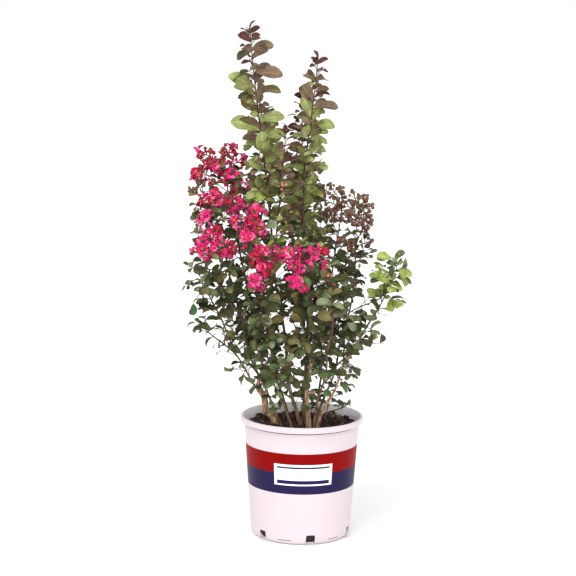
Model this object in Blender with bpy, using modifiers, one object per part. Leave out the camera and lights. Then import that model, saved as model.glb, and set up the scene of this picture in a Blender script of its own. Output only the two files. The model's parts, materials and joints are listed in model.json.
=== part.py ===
"""A crape myrtle in its nursery pot: pot, soil, woody stems, and the sprays of leaves, blossom and buds they carry.

Metres, +Z up. The origin is the centre of the pot's flat underside, and -Y faces the viewer.
"""

import math
from collections import namedtuple

import bmesh
import bpy
import numpy as np
from mathutils import Matrix, Vector

# Driving dimensions of the pot, a three gallon nursery container
POT_HEIGHT = 0.270
RIM_RADIUS = 0.135
RIM_DEPTH = 0.012
WALL = 0.0022
SHOULDER_RADIUS = 0.1285
BASE_RADIUS = 0.1115
BASE_FILLET = 0.014
FLOOR_RISE = 0.004
POT_SIDES = 40
DRAIN_COUNT = 6
DRAIN_BEARING = math.radians(12)
DRAIN_WIDTH = 0.024
DRAIN_HEIGHT = 0.0235

# Soil
SOIL_TOP = 0.240
SOIL_SIDES = 32
SOIL_ROUGHNESS = 0.004
CHUNK_HEIGHT = 0.008
SEED = 31

# Plant
GAP = 0.0003
UP = np.array([0.0, 0.0, 1.0])
CROWN_AXIS = np.array([-0.010, 0.020, 0.0])
GOLDEN_ANGLE = math.radians(137.5)
LIMB_POINTS = 6
LEADER_POINTS = 6
LEAF_WIDTH = 0.54
LEAF_THICKNESS = 0.03
LEAF_GAIN = 1.55
TWIG_RADIUS = 0.0011
SPACE_MARGIN = 0.0025
LIMB_MARGIN = 0.0022
LEAF_MARGIN = 0.0050
FLOWER_RADIUS = 0.0150
BUD_RADIUS = 0.0055

Limb = namedtuple("Limb", "name parent along foot via tip foot_radius tip_radius")
Spray = namedtuple("Spray", "name limb along tip reach twigs leaf kind heads", defaults=("leafy", ()))

# Woody stems. A stem with no parent stands in the soil; a bough leaves its parent at the share "along" it.
LIMBS = (
    Limb("trunk_left", None, 0, (-0.054, 0.012), (-0.078, 0.014, 0.281), (-0.100, 0.015, 0.333), 0.0085, 0.0060),
    Limb("bough_left_high", "trunk_left", 1, None, (-0.094, 0.020, 0.400), (-0.118, 0.050, 0.520), 0.0046, 0.0028),
    Limb("bough_left_low", "trunk_left", 0.90, None, (-0.142, 0.012, 0.392), (-0.182, 0.020, 0.478), 0.0032, 0.0022),
    Limb("stem_left", None, 0, (-0.042, -0.004), (-0.116, -0.030, 0.420), (-0.166, -0.050, 0.610), 0.0040, 0.0024),
    Limb("stem_middle", None, 0, (0.000, 0.004), (-0.040, 0.002, 0.416), (-0.075, 0.015, 0.700), 0.0062, 0.0034),
    Limb("stem_centre", None, 0, (0.016, -0.010), (0.013, -0.030, 0.377), (0.018, -0.085, 0.530), 0.0072, 0.0026),
    Limb("stem_right", None, 0, (0.034, -0.004), (0.070, -0.012, 0.333), (0.138, -0.030, 0.473), 0.0046, 0.0024),
    Limb("stem_tall_right", None, 0, (0.010, 0.024), (0.006, 0.030, 0.456), (-0.004, 0.040, 0.720), 0.0056, 0.0032),
    Limb("stem_buds", None, 0, (0.036, 0.024), (0.040, 0.030, 0.390), (0.064, 0.030, 0.600), 0.0042, 0.0024),
    Limb("bough_arch", "stem_buds", 0.62, None, (0.105, -0.004, 0.505), (0.158, -0.045, 0.537), 0.0022, 0.0016),
    Limb("stem_front", None, 0, (-0.018, -0.024), (-0.062, -0.062, 0.371), (-0.080, -0.108, 0.500), 0.0036, 0.0022),
    Limb("stem_front_right", None, 0, (0.024, -0.032), (0.044, -0.075, 0.360), (0.062, -0.118, 0.480), 0.0034, 0.0022),
    Limb("stem_back_left", None, 0, (-0.026, 0.036), (-0.070, 0.088, 0.400), (-0.105, 0.130, 0.560), 0.0044, 0.0026),
    Limb("stem_back", None, 0, (0.002, 0.048), (0.012, 0.105, 0.400), (0.012, 0.145, 0.590), 0.0044, 0.0026),
    Limb("stem_back_right", None, 0, (0.028, 0.046), (0.078, 0.090, 0.380), (0.112, 0.118, 0.530), 0.0042, 0.0024),
)

# Sprays. Each grows from its limb to the point "tip", within "reach" of that line, and "heads" are (x, y, z, radius).
SPRAYS = (
    Spray("spire_left", "stem_middle", 1, (-0.125, 0.010, 1.118), 0.056, 4, 0.050),
    Spray("spire_right", "stem_tall_right", 1, (0.023, 0.040, 1.055), 0.050, 4, 0.045),
    Spray("spire_middle", "stem_tall_right", 0.86, (-0.011, 0.095, 0.975), 0.044, 4, 0.040),
    Spray("spire_small", "stem_middle", 0.80, (-0.044, -0.025, 0.905), 0.042, 5, 0.038, "leafy",
          ((-0.048, -0.040, 0.779, 0.012),)),
    Spray("bloom_top_left", "bough_left_high", 1, (-0.181, 0.035, 0.835), 0.064, 7, 0.040, "bloom",
          ((-0.222, 0.030, 0.845, 0.018), (-0.170, 0.040, 0.850, 0.018), (-0.196, 0.000, 0.822, 0.020),
           (-0.150, 0.045, 0.828, 0.018), (-0.168, 0.005, 0.795, 0.024), (-0.228, -0.010, 0.803, 0.020))),
    Spray("bloom_left", "stem_left", 1, (-0.212, -0.045, 0.735), 0.060, 7, 0.040, "bloom",
          ((-0.201, -0.065, 0.755, 0.022), (-0.155, -0.075, 0.745, 0.022), (-0.212, -0.085, 0.715, 0.022))),
    Spray("bloom_left_low", "stem_left", 0.70, (-0.222, -0.090, 0.640), 0.056, 7, 0.040, "bloom",
          ((-0.194, -0.110, 0.680, 0.020), (-0.217, -0.100, 0.655, 0.024), (-0.163, -0.125, 0.656, 0.020))),
    Spray("bloom_centre_left", "stem_front", 1, (-0.110, -0.118, 0.700), 0.058, 7, 0.040, "bloom",
          ((-0.104, -0.135, 0.722, 0.030), (-0.136, -0.120, 0.708, 0.020), (-0.116, -0.155, 0.680, 0.022))),
    Spray("bloom_centre", "stem_front", 0.72, (-0.088, -0.172, 0.625), 0.058, 7, 0.040, "bloom",
          ((-0.091, -0.182, 0.644, 0.024), (-0.099, -0.186, 0.594, 0.017), (-0.064, -0.165, 0.652, 0.016))),
    Spray("bloom_centre_right", "stem_centre", 1, (-0.012, -0.160, 0.630), 0.056, 7, 0.040, "bloom",
          ((-0.028, -0.182, 0.647, 0.026), (-0.014, -0.184, 0.596, 0.019), (0.010, -0.172, 0.648, 0.020))),
    Spray("bloom_right", "stem_front_right", 1, (0.046, -0.140, 0.625), 0.056, 7, 0.040, "bloom",
          ((0.040, -0.152, 0.648, 0.019), (0.060, -0.160, 0.600, 0.012))),
    Spray("buds_top_right", "stem_buds", 1, (0.082, 0.030, 0.735), 0.062, 7, 0.038, "buds",
          ((0.046, 0.045, 0.760, 0.017), (0.072, 0.030, 0.762, 0.019), (0.094, 0.050, 0.738, 0.022),
           (0.049, 0.010, 0.718, 0.016))),
    Spray("buds_right", "stem_buds", 0.80, (0.128, 0.005, 0.695), 0.058, 8, 0.038, "buds",
          ((0.114, 0.000, 0.752, 0.018), (0.138, 0.020, 0.738, 0.018), (0.086, -0.025, 0.710, 0.020),
           (0.100, -0.050, 0.668, 0.019), (0.136, 0.000, 0.660, 0.013))),
    Spray("right_tip", "stem_right", 1, (0.182, -0.030, 0.555), 0.054, 6, 0.040),
    Spray("arch_right", "bough_arch", 1, (0.205, -0.055, 0.640), 0.052, 6, 0.042),
    Spray("left_low", "bough_left_low", 1, (-0.232, 0.005, 0.586), 0.058, 8, 0.040),
    Spray("left_lowest", "bough_left_low", 0.55, (-0.236, 0.035, 0.474), 0.050, 7, 0.036),
    Spray("left_front", "stem_left", 0.36, (-0.152, -0.092, 0.456), 0.064, 8, 0.040),
    Spray("low_front", "stem_front", 0.46, (-0.050, -0.150, 0.420), 0.066, 8, 0.040),
    Spray("low_right", "stem_front_right", 0.50, (0.110, -0.090, 0.430), 0.066, 8, 0.040),
    Spray("low_right_back", "stem_back_right", 0.46, (0.128, 0.045, 0.424), 0.066, 8, 0.040),
    Spray("core_left", "bough_left_high", 0.30, (-0.105, 0.000, 0.560), 0.078, 8, 0.044),
    Spray("core_middle", "stem_tall_right", 0.48, (0.030, -0.020, 0.680), 0.080, 9, 0.044),
    Spray("core_right", "stem_right", 0.62, (0.088, -0.060, 0.560), 0.072, 8, 0.042),
    Spray("middle_front", "stem_centre", 0.55, (-0.022, -0.100, 0.500), 0.074, 8, 0.042),
    Spray("back_left", "stem_back_left", 1, (-0.140, 0.165, 0.740), 0.070, 9, 0.042, "bloom",
          ((-0.150, 0.175, 0.770, 0.026), (-0.118, 0.180, 0.740, 0.022), (-0.178, 0.160, 0.730, 0.022))),
    Spray("back_middle", "stem_back", 1, (-0.010, 0.180, 0.800), 0.070, 9, 0.042, "buds",
          ((-0.010, 0.185, 0.830, 0.022), (0.020, 0.195, 0.800, 0.018))),
    Spray("back_right", "stem_back_right", 1, (0.118, 0.150, 0.690), 0.068, 9, 0.042, "buds",
          ((0.112, 0.158, 0.712, 0.022), (0.136, 0.140, 0.690, 0.018))),
    Spray("back_low_left", "stem_back_left", 0.50, (-0.150, 0.130, 0.450), 0.060, 8, 0.038),
    Spray("back_low", "stem_back", 0.45, (0.040, 0.190, 0.450), 0.060, 8, 0.038),
    Spray("basal_right", "stem_right", 0.14, (0.104, 0.020, 0.292), 0.030, 5, 0.018),
)


def unit(vector):
    return vector / np.linalg.norm(vector)


def curve_through(start, via, tip, count):
    """Points of the parabola that starts at one point, passes the second halfway and ends at the third."""
    control = 2 * via - (start + tip) / 2
    t = np.linspace(0, 1, count)[:, None]
    return (1 - t) ** 2 * start + 2 * t * (1 - t) * control + t**2 * tip


def point_along(points, share):
    """The point at that share of a path's length, and the path's direction there."""
    steps = np.linalg.norm(np.diff(points, axis=0), axis=1)
    at = share * steps.sum()
    run = np.concatenate([[0], np.cumsum(steps)])
    i = min(int(np.searchsorted(run, at, side="right")) - 1, len(steps) - 1)
    direction = unit(points[i + 1] - points[i])
    return points[i] + direction * (at - run[i]), direction


def across(direction, azimuth):
    """A unit vector at right angles to direction, turned round it by the azimuth."""
    side = np.cross(direction, UP)
    if np.linalg.norm(side) < 0.2:
        side = np.cross(direction, np.array([0.0, 1.0, 0.0]))
    side = unit(side)
    return math.cos(azimuth) * side + math.sin(azimuth) * np.cross(direction, side)


def branch_start(parent, along, heading, radius):
    """Where a branch of that radius and heading leaves its parent limb, clear of the wood by GAP."""
    point, direction = point_along(parent.points, along)
    lean = float(heading @ direction)
    if along == 1:
        return point + direction * (GAP + radius * math.sqrt(max(0.0, 1 - lean**2)))
    out = unit(heading - lean * direction)
    spread = np.linspace(0, 1, len(parent.radii))
    return point + out * (np.interp(along, spread, parent.radii) + GAP + 0.85 * radius * abs(lean))


GrownLimb = namedtuple("GrownLimb", "name points radii")


def grow_limbs():
    """Every limb as a path with a radius at each point, by name."""
    grown = {}
    for limb in LIMBS:
        via, tip = np.array(limb.via), np.array(limb.tip)
        if limb.parent is None:
            start = np.array([*limb.foot, SOIL_TOP - 0.004])
        else:
            start, _ = point_along(grown[limb.parent].points, limb.along)
        for _ in range(3):
            points = curve_through(start, via, tip, LIMB_POINTS)
            if limb.parent is not None:
                heading = unit(points[1] - points[0])
                start = branch_start(grown[limb.parent], limb.along, heading, limb.foot_radius)
        taper = np.linspace(0, 1, LIMB_POINTS) ** 0.8
        radii = limb.foot_radius + taper * (limb.tip_radius - limb.foot_radius)
        if limb.parent is None:
            radii[0] *= 1.35
            radii[1] *= 1.05
        grown[limb.name] = GrownLimb(limb.name, points, radii)
    return grown


def leader_of(spray, limbs):
    """The spray's own stem: it goes on from its limb and bends up towards its tip."""
    parent, tip = limbs[spray.limb], np.array(spray.tip)
    radius = parent.radii[-1] if spray.along == 1 else min(0.0022, parent.radii[-1])
    start, direction = point_along(parent.points, spray.along)
    toward = unit(tip - start)
    heading = direction if spray.along == 1 else unit(0.35 * direction + 1.1 * toward)
    start = branch_start(parent, spray.along, heading, radius)
    span = np.linalg.norm(tip - start)
    arrive = unit(0.5 * UP + unit(tip - start))
    controls = (start, start + heading * span * 0.30, tip - arrive * span * 0.35, tip)
    t = np.linspace(0, 1, LEADER_POINTS)[:, None]
    weights = ((1 - t) ** 3, 3 * t * (1 - t) ** 2, 3 * t**2 * (1 - t), t**3)
    points = sum(w * c for w, c in zip(weights, controls))
    points += branch_start(parent, spray.along, unit(points[1] - points[0]), radius) - start
    return points, np.linspace(radius, TWIG_RADIUS, LEADER_POINTS)


class Spaces:
    """Which spray each part of the crown belongs to, and what wood is in the way."""

    def __init__(self, limbs, leaders):
        centres, sizes, owners = [], [], []
        for index, spray in enumerate(SPRAYS):
            for share in np.linspace(0, 1, 11):
                centre, _ = point_along(leaders[spray.name][0], share)
                centres.append(centre)
                sizes.append(spray.reach * (0.62 + 0.38 * math.sin(math.pi * min(1, 0.15 + share))))
                owners.append(index)
            for *centre, radius in spray.heads:
                centres.append(np.array(centre))
                sizes.append(radius + 0.022)
                owners.append(index)
        self.centres, self.sizes, self.owners = np.array(centres), np.array(sizes), np.array(owners)
        self.wood = {name: limb_samples(limb) for name, limb in limbs.items()}

    def holds(self, index, points, margin=SPACE_MARGIN):
        """True if all the points lie in the spray's reach, and nearer to it than to any other spray."""
        away = np.linalg.norm(points[:, None] - self.centres[None], axis=2) / self.sizes
        own = away[:, self.owners == index].min(axis=1)
        others = away[:, self.owners != index].min(axis=1)
        slack = (others - own) * SPRAYS[index].reach
        return bool((own < 1.12).all() and (slack > margin).all())

    def clear_of_wood(self, points, thickness, skip=None):
        """True if no point is nearer to any limb's surface than the thickness."""
        for name, (middles, radii) in self.wood.items():
            if name == skip:
                continue
            away = np.linalg.norm(points[:, None] - middles[None], axis=2) - radii
            if away.min() < thickness:
                return False
        return True


def limb_samples(limb):
    """Close points down the middle of a limb, with its radius at each."""
    count = 60
    middles = np.array([point_along(limb.points, share)[0] for share in np.linspace(0, 1, count)])
    spread = np.linspace(0, 1, len(limb.radii))
    return middles, np.interp(np.linspace(0, 1, count), spread, limb.radii)


Leaf = namedtuple("Leaf", "root direction normal length")
Twig = namedtuple("Twig", "start end radius")
Blossom = namedtuple("Blossom", "base axis height size open")


def leaf_points(leaf):
    """Points over a leaf, for testing where it lies."""
    side = np.cross(leaf.normal, leaf.direction)
    half = leaf.length * LEAF_WIDTH * 0.6
    u, v = np.meshgrid(np.linspace(0.12, 1, 9), np.linspace(-1, 1, 7))
    u, v = u.reshape(-1, 1), v.reshape(-1, 1)
    return leaf.root + leaf.direction * leaf.length * u + side * half * v * (1 - np.abs(2 * u - 1))


def make_leaf(root, direction, length, rng):
    """A leaf whose face is turned up and out of the crown."""
    direction = unit(direction + rng.normal(0, 0.12, 3))
    outward = np.array([root[0], root[1], 0.0]) - CROWN_AXIS
    normal = 0.45 * UP + 0.65 * unit(outward) + rng.normal(0, 0.40, 3)
    normal = unit(normal - (normal @ direction) * direction)
    return Leaf(root, direction, normal, length)


def leaves_along(points, gap, first, length, rng, doubled):
    """Leaves at even steps along a path, on alternate sides or in pairs, smaller towards its end."""
    total = np.linalg.norm(np.diff(points, axis=0), axis=1).sum()
    count = max(1, int(total * (1 - first) / gap))
    found = []
    for i in range(count):
        share = first + (1 - first) * (i + 0.5) / count
        root, axis = point_along(points, share)
        turn = (i % 2) * math.pi / 2 + rng.uniform(-0.4, 0.4)
        for side in (0, math.pi) if doubled else ((i % 2) * math.pi,):
            out = across(axis, turn * 0.6 + side)
            size = length * (1.0 - 0.38 * share) * rng.uniform(0.86, 1.08)
            found.append(make_leaf(root, unit(0.62 * axis + out + 0.12 * UP), size, rng))
    return found


class Growth:
    """What a spray has grown so far. A leaf or flower that would run into an earlier one is left out."""

    def __init__(self, index, spaces):
        self.index, self.spaces = index, spaces
        self.twigs, self.leaves, self.blossom, self.spots = [], [], [], []
        self.taken = np.full((1, 3), 9.0)

    def add_leaves(self, wanted, rng):
        """Adds each leaf that fits; one that doesn't is turned and made smaller twice before it is left out."""
        for leaf in wanted:
            for size in (1, 0.82, 0.66):
                if self.fits(leaf):
                    self.leaves.append(leaf)
                    points = leaf_points(leaf)
                    away = np.linalg.norm(points - leaf.root, axis=1) > 0.010
                    self.taken = np.vstack([self.taken, points[away]])
                    break
                turned = unit(leaf.direction + rng.normal(0, 0.35, 3))
                leaf = make_leaf(leaf.root, turned, leaf.length * size, rng)

    def fits(self, leaf):
        points = leaf_points(leaf)
        away = points[np.linalg.norm(points - leaf.root, axis=1) > 0.010]
        low = (points[:, 2] < POT_HEIGHT + 0.006).any()
        near = np.linalg.norm(away[:, None] - self.taken[None], axis=2).min() < LEAF_MARGIN
        held = self.spaces.holds(self.index, points) and self.spaces.clear_of_wood(points, LIMB_MARGIN)
        return held and not low and not near

    def add_blossom(self, blossom):
        turns = np.linspace(0, math.tau, 6, endpoint=False)
        spot = blossom.base + blossom.height * blossom.axis
        rim = spot + blossom.size * np.array([across(blossom.axis, turn) for turn in turns])
        near = min((np.linalg.norm(spot - other) for other in self.spots), default=9) < 1.8 * blossom.size
        held = self.spaces.holds(self.index, np.vstack([rim, spot])) and self.spaces.clear_of_wood(rim, LIMB_MARGIN)
        if held and not near:
            self.blossom.append(blossom)
            self.spots.append(spot)
            self.taken = np.vstack([self.taken, rim, spot])


def grow_spray(index, leader, spaces):
    """A spray's twigs, leaves, flowers and buds, each kept to the spray's own space."""
    spray, (points, _) = SPRAYS[index], leader
    rng = np.random.default_rng(SEED + index)
    spire = spray.name.startswith("spire")
    growth = Growth(index, spaces)
    for *centre, radius in spray.heads:
        grow_head(np.array(centre), radius, spray.kind != "buds", points, growth, rng)
    wanted = leaves_along(points, 0.030 if spire else 0.034, 0.10, spray.leaf * LEAF_GAIN, rng, spire)
    crown_end, crown_way = point_along(points, 1)
    crown_root = crown_end - 0.002 * crown_way
    wanted.append(make_leaf(crown_root, unit(crown_way + 0.2 * rng.normal(0, 1, 3)), spray.leaf * 0.6, rng))
    growth.add_leaves(wanted, rng)
    for k in range(spray.twigs):
        share = 0.12 + 0.80 * (k + 0.5) / spray.twigs
        start, axis = point_along(points, share)
        out = across(axis, k * GOLDEN_ANGLE + index)
        length = spray.reach * rng.uniform(0.62, 0.88) * (1.05 - 0.35 * share)
        end = start + length * unit(out + 0.55 * axis + 0.25 * UP)
        samples = np.linspace(start + 0.004 * out, end, 12)
        if not (spaces.holds(index, samples) and spaces.clear_of_wood(samples[1:], LIMB_MARGIN)):
            continue
        growth.twigs.append(Twig(start, end, TWIG_RADIUS))
        wanted = leaves_along(np.array([start, end]), 0.022, 0.25, spray.leaf * LEAF_GAIN, rng, False)
        wanted.append(make_leaf(end - 0.002 * unit(end - start), unit(end - start), spray.leaf * 0.85, rng))
        growth.add_leaves(wanted, rng)
    return growth


def grow_head(centre, radius, flowers, leader, growth, rng):
    """A flower head: a stalk from the spray's stem, with open flowers or round buds all round it."""
    below = [point_along(leader, share)[0] for share in np.linspace(0.35, 1.0, 14)]
    lower = [p for p in below if p[2] < centre[2] - 0.012] or below[:1]
    start = min(lower, key=lambda p: np.linalg.norm(p - centre))
    way = unit(centre - start)
    top = centre + 0.55 * radius * way
    growth.twigs.append(Twig(start, top, TWIG_RADIUS))
    size = FLOWER_RADIUS if flowers else BUD_RADIUS
    growth.add_blossom(Blossom(top - 0.002 * way, way, 0.6 * radius, size, flowers))
    count = max(2, round(radius / 0.0075))
    phase = rng.uniform(0, math.tau)
    for i in range(count):
        base = centre + radius * (0.25 - 1.1 * (i + 0.5) / count) * way
        axis = unit(across(way, phase + i * GOLDEN_ANGLE) + 0.45 * way)
        growth.add_blossom(Blossom(base, axis, radius * rng.uniform(0.65, 0.85), size, flowers))


def new_object(name, mesh, collection):
    obj = bpy.data.objects.new(name, mesh)
    collection.objects.link(obj)
    return obj


def mesh_from(name, bm):
    mesh = bpy.data.meshes.new(name)
    bm.to_mesh(mesh)
    bm.free()
    return mesh


def material(name, colour, roughness):
    made = bpy.data.materials.new(name)
    made.use_nodes = True
    shader = made.node_tree.nodes["Principled BSDF"]
    shader.inputs["Base Color"].default_value = (*colour, 1)
    shader.inputs["Roughness"].default_value = roughness
    shader.inputs["Metallic"].default_value = 0
    return made


def turned(name, profile, sides, collection):
    """A turned solid: the profile, outer side first from the top down, carried round the Z axis by a Screw."""
    bm = bmesh.new()
    verts = [bm.verts.new((r, 0, z)) for r, z in profile]
    for a, b in zip(verts, verts[1:]):
        bm.edges.new((a, b))
    mesh = bpy.data.meshes.new(name)
    bm.to_mesh(mesh)
    bm.free()
    obj = new_object(name, mesh, collection)
    screw = obj.modifiers.new("Screw", "SCREW")
    screw.steps = screw.render_steps = sides
    screw.use_merge_vertices = True
    screw.merge_threshold = 0.00005
    return obj


def apply_modifiers(obj):
    """Replaces the object's mesh by its evaluated one."""
    graph = bpy.context.evaluated_depsgraph_get()
    mesh = bpy.data.meshes.new_from_object(obj.evaluated_get(graph))
    obj.modifiers.clear()
    obj.data = mesh


def outer_radius(z):
    """The pot's outer wall is a straight taper from the shoulder under the rim to the base."""
    share = (z - BASE_FILLET) / (POT_HEIGHT - RIM_DEPTH - BASE_FILLET)
    return BASE_RADIUS + share * (SHOULDER_RADIUS - BASE_RADIUS)


def pot_profile():
    """The pot's section, from the rim's top down the outside, along the underside and up the inside."""
    rim_middle, rim_half = POT_HEIGHT - RIM_DEPTH / 2, RIM_DEPTH / 2
    rolled = [(RIM_RADIUS - 0.004 + 0.004 * math.cos(a), rim_middle + rim_half * math.sin(a))
              for a in np.radians([90, 45, 0, -50])]
    shoulder = POT_HEIGHT - RIM_DEPTH
    wall = [(outer_radius(shoulder) + 0.0008, shoulder - 0.001), (outer_radius(BASE_FILLET), BASE_FILLET)]
    fillet = [(BASE_RADIUS - BASE_FILLET * (1 - math.cos(a)), BASE_FILLET * (1 - math.sin(a)))
              for a in np.radians([30, 60, 90])]
    inside = [(0, 0), (0, FLOOR_RISE), (BASE_RADIUS - BASE_FILLET, FLOOR_RISE),
              (outer_radius(BASE_FILLET) - WALL, BASE_FILLET + 0.002),
              (outer_radius(shoulder) - WALL, shoulder), (RIM_RADIUS - 0.0065, POT_HEIGHT - 0.001)]
    return rolled + wall + fillet + inside + rolled[:1]


def make_pot(collection, cutters):
    """The pot, with its drain notches cut through the corner between wall and floor."""
    pot = turned("pot", pot_profile(), POT_SIDES, collection)
    for i in range(DRAIN_COUNT):
        bearing = DRAIN_BEARING + i * math.tau / DRAIN_COUNT
        bm = bmesh.new()
        bmesh.ops.create_cube(bm, size=1)
        for vert in bm.verts:
            narrow = 0.78 if vert.co.z > 0 else 1.0
            vert.co.x *= DRAIN_WIDTH * narrow
            vert.co.y *= 0.030
            vert.co.z = DRAIN_HEIGHT if vert.co.z > 0 else -0.01
        cutter = new_object(f"drain_cutter_{i}", mesh_from("drain", bm), cutters)
        cutter.rotation_euler.z = bearing
        cutter.location = Vector((math.sin(bearing), -math.cos(bearing), 0)) * BASE_RADIUS
        cutter.hide_render = True
        cutter.display_type = "WIRE"
    cut = pot.modifiers.new("Drains", "BOOLEAN")
    cut.operation = "DIFFERENCE"
    cut.operand_type = "COLLECTION"
    cut.collection = cutters
    return pot


def make_soil(collection, feet):
    """The soil fills the pot, with a rough top and bark chunks round the edge, and is level where a stem stands."""
    inset = WALL + GAP * 2
    floor = FLOOR_RISE + GAP
    wall_foot = BASE_FILLET + 0.004
    edge = outer_radius(SOIL_TOP) - inset
    rings = [edge * share for share in (1, 0.84, 0.66, 0.46, 0.24, 0)]
    crest = [(0, SOIL_TOP)] + [(r, SOIL_TOP) for r in rings[::-1][1:]]
    below = [(outer_radius(wall_foot) - inset, wall_foot), (BASE_RADIUS - BASE_FILLET - 0.001, floor), (0, floor)]
    soil = turned("soil", crest + below, SOIL_SIDES, collection)
    apply_modifiers(soil)
    rng = np.random.default_rng(SEED)
    for vert in soil.data.vertices:
        if vert.co.z < SOIL_TOP - 0.001:
            continue
        spot = np.array(vert.co[:2])
        radius = np.linalg.norm(spot)
        near = min(np.linalg.norm(spot - foot) for foot in feet)
        drop = -SOIL_ROUGHNESS * rng.uniform(0, 1)
        if 0.7 * edge < radius < 0.95 * edge and near > 0.03:
            drop = CHUNK_HEIGHT * rng.uniform(-0.4, 1) ** 3
        vert.co.z = SOIL_TOP + (0 if near < 0.020 else drop)
    return soil


def tube(name, points, radii, resolution, collection):
    """A tapering tube as a closed mesh, from a curve with a bevel and filled caps."""
    curve = bpy.data.curves.new(name, "CURVE")
    curve.dimensions = "3D"
    curve.bevel_depth = 1.0
    curve.bevel_resolution = resolution
    curve.use_fill_caps = True
    spline = curve.splines.new("POLY")
    spline.points.add(len(points) - 1)
    for spot, point, radius in zip(spline.points, points, radii):
        spot.co = (*point, 1)
        spot.radius = radius
    guide = new_object(name + "_guide", curve, collection)
    graph = bpy.context.evaluated_depsgraph_get()
    mesh = bpy.data.meshes.new_from_object(guide.evaluated_get(graph))
    bpy.data.objects.remove(guide)
    bm = bmesh.new()
    bm.from_mesh(mesh)
    bmesh.ops.remove_doubles(bm, verts=bm.verts, dist=0.00001)
    return new_object(name, mesh_from(name, bm), collection)


def cut_level(obj, height):
    """Cuts a stem off flat at that height and caps it."""
    bm = bmesh.new()
    bm.from_mesh(obj.data)
    parts = bm.verts[:] + bm.edges[:] + bm.faces[:]
    bmesh.ops.bisect_plane(bm, geom=parts, plane_co=(0, 0, height), plane_no=(0, 0, 1), clear_inner=True)
    bmesh.ops.holes_fill(bm, edges=[e for e in bm.edges if e.is_boundary])
    bmesh.ops.recalc_face_normals(bm, faces=bm.faces)
    bm.to_mesh(obj.data)
    bm.free()


def frame_matrix(origin, along, normal):
    """A matrix that carries X to along and Z to normal, at the origin."""
    side = np.cross(normal, along)
    return Matrix([[along[i], side[i], normal[i], origin[i]] for i in range(3)] + [[0, 0, 0, 1]])


def leaf_solid(leaf, collection):
    """A leaf as a thin four-cornered lens."""
    bm = bmesh.new()
    bmesh.ops.create_uvsphere(bm, u_segments=4, v_segments=2, radius=0.5)
    size = (leaf.length, leaf.length * LEAF_WIDTH * 1.2, leaf.length * LEAF_THICKNESS)
    bmesh.ops.scale(bm, verts=bm.verts, vec=size)
    bmesh.ops.translate(bm, verts=bm.verts, vec=(leaf.length / 2, 0, 0))
    bm.transform(frame_matrix(leaf.root, leaf.direction, leaf.normal))
    new_object("leaf", mesh_from("leaf", bm), collection)


def twig_solid(twig, collection):
    """A three-sided twig."""
    way = Vector(twig.end - twig.start)
    bm = bmesh.new()
    bmesh.ops.create_cone(bm, segments=3, radius1=twig.radius * 1.5, radius2=twig.radius, depth=way.length + 0.001,
                          cap_ends=True)
    turn = way.to_track_quat("Z", "Y").to_matrix().to_4x4()
    bm.transform(Matrix.Translation(Vector((twig.start + twig.end) / 2)) @ turn)
    new_object("twig", mesh_from("twig", bm), collection)


def blossom_solid(blossom, collection):
    """An open flower is a cup with six corners; a bud is a small ball drawn out to its stalk."""
    bm = bmesh.new()
    if blossom.open:
        bmesh.ops.create_cone(bm, segments=6, radius1=0, radius2=blossom.size, depth=blossom.height, cap_ends=True)
    else:
        bmesh.ops.create_uvsphere(bm, u_segments=4, v_segments=2, radius=blossom.size)
        bmesh.ops.scale(bm, verts=bm.verts, vec=(1, 1, 0.5 * blossom.height / blossom.size))
    middle = blossom.base + blossom.axis * blossom.height / 2
    bm.transform(frame_matrix(middle, across(blossom.axis, 0.3), blossom.axis))
    bmesh.ops.remove_doubles(bm, verts=bm.verts, dist=0.00001)
    new_object("blossom", mesh_from("blossom", bm), collection)


def keep_largest(obj):
    """Drops any scrap that the union left loose."""
    bm = bmesh.new()
    bm.from_mesh(obj.data)
    unseen, groups = set(bm.verts), []
    while unseen:
        group, front = set(), [unseen.pop()]
        while front:
            vert = front.pop()
            group.add(vert)
            for edge in vert.link_edges:
                other = edge.other_vert(vert)
                if other in unseen:
                    unseen.remove(other)
                    front.append(other)
        groups.append(group)
    largest = max(groups, key=len)
    bmesh.ops.delete(bm, geom=[v for v in bm.verts if v not in largest], context="VERTS")
    bm.to_mesh(obj.data)
    bm.free()
    return len(groups) - 1


def make_spray(index, leader, spaces, collection):
    """One spray as one solid: its stem, with twigs, leaves and blossom joined on by a union."""
    spray = SPRAYS[index]
    growth = grow_spray(index, leader, spaces)
    stem = tube(spray.name, *leader, 0, collection)
    extras = bpy.data.collections.new(spray.name + "_parts")
    bpy.context.scene.collection.children.link(extras)
    for twig in growth.twigs:
        twig_solid(twig, extras)
    for leaf in growth.leaves:
        leaf_solid(leaf, extras)
    for blossom in growth.blossom:
        blossom_solid(blossom, extras)
    union = stem.modifiers.new("Union", "BOOLEAN")
    union.operation = "UNION"
    union.solver = "MANIFOLD"
    union.operand_type = "COLLECTION"
    union.collection = extras
    bpy.context.view_layer.update()
    apply_modifiers(stem)
    for extra in list(extras.objects):
        bpy.data.objects.remove(extra)
    bpy.data.collections.remove(extras)
    loose = keep_largest(stem)
    return stem, growth, loose


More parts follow.
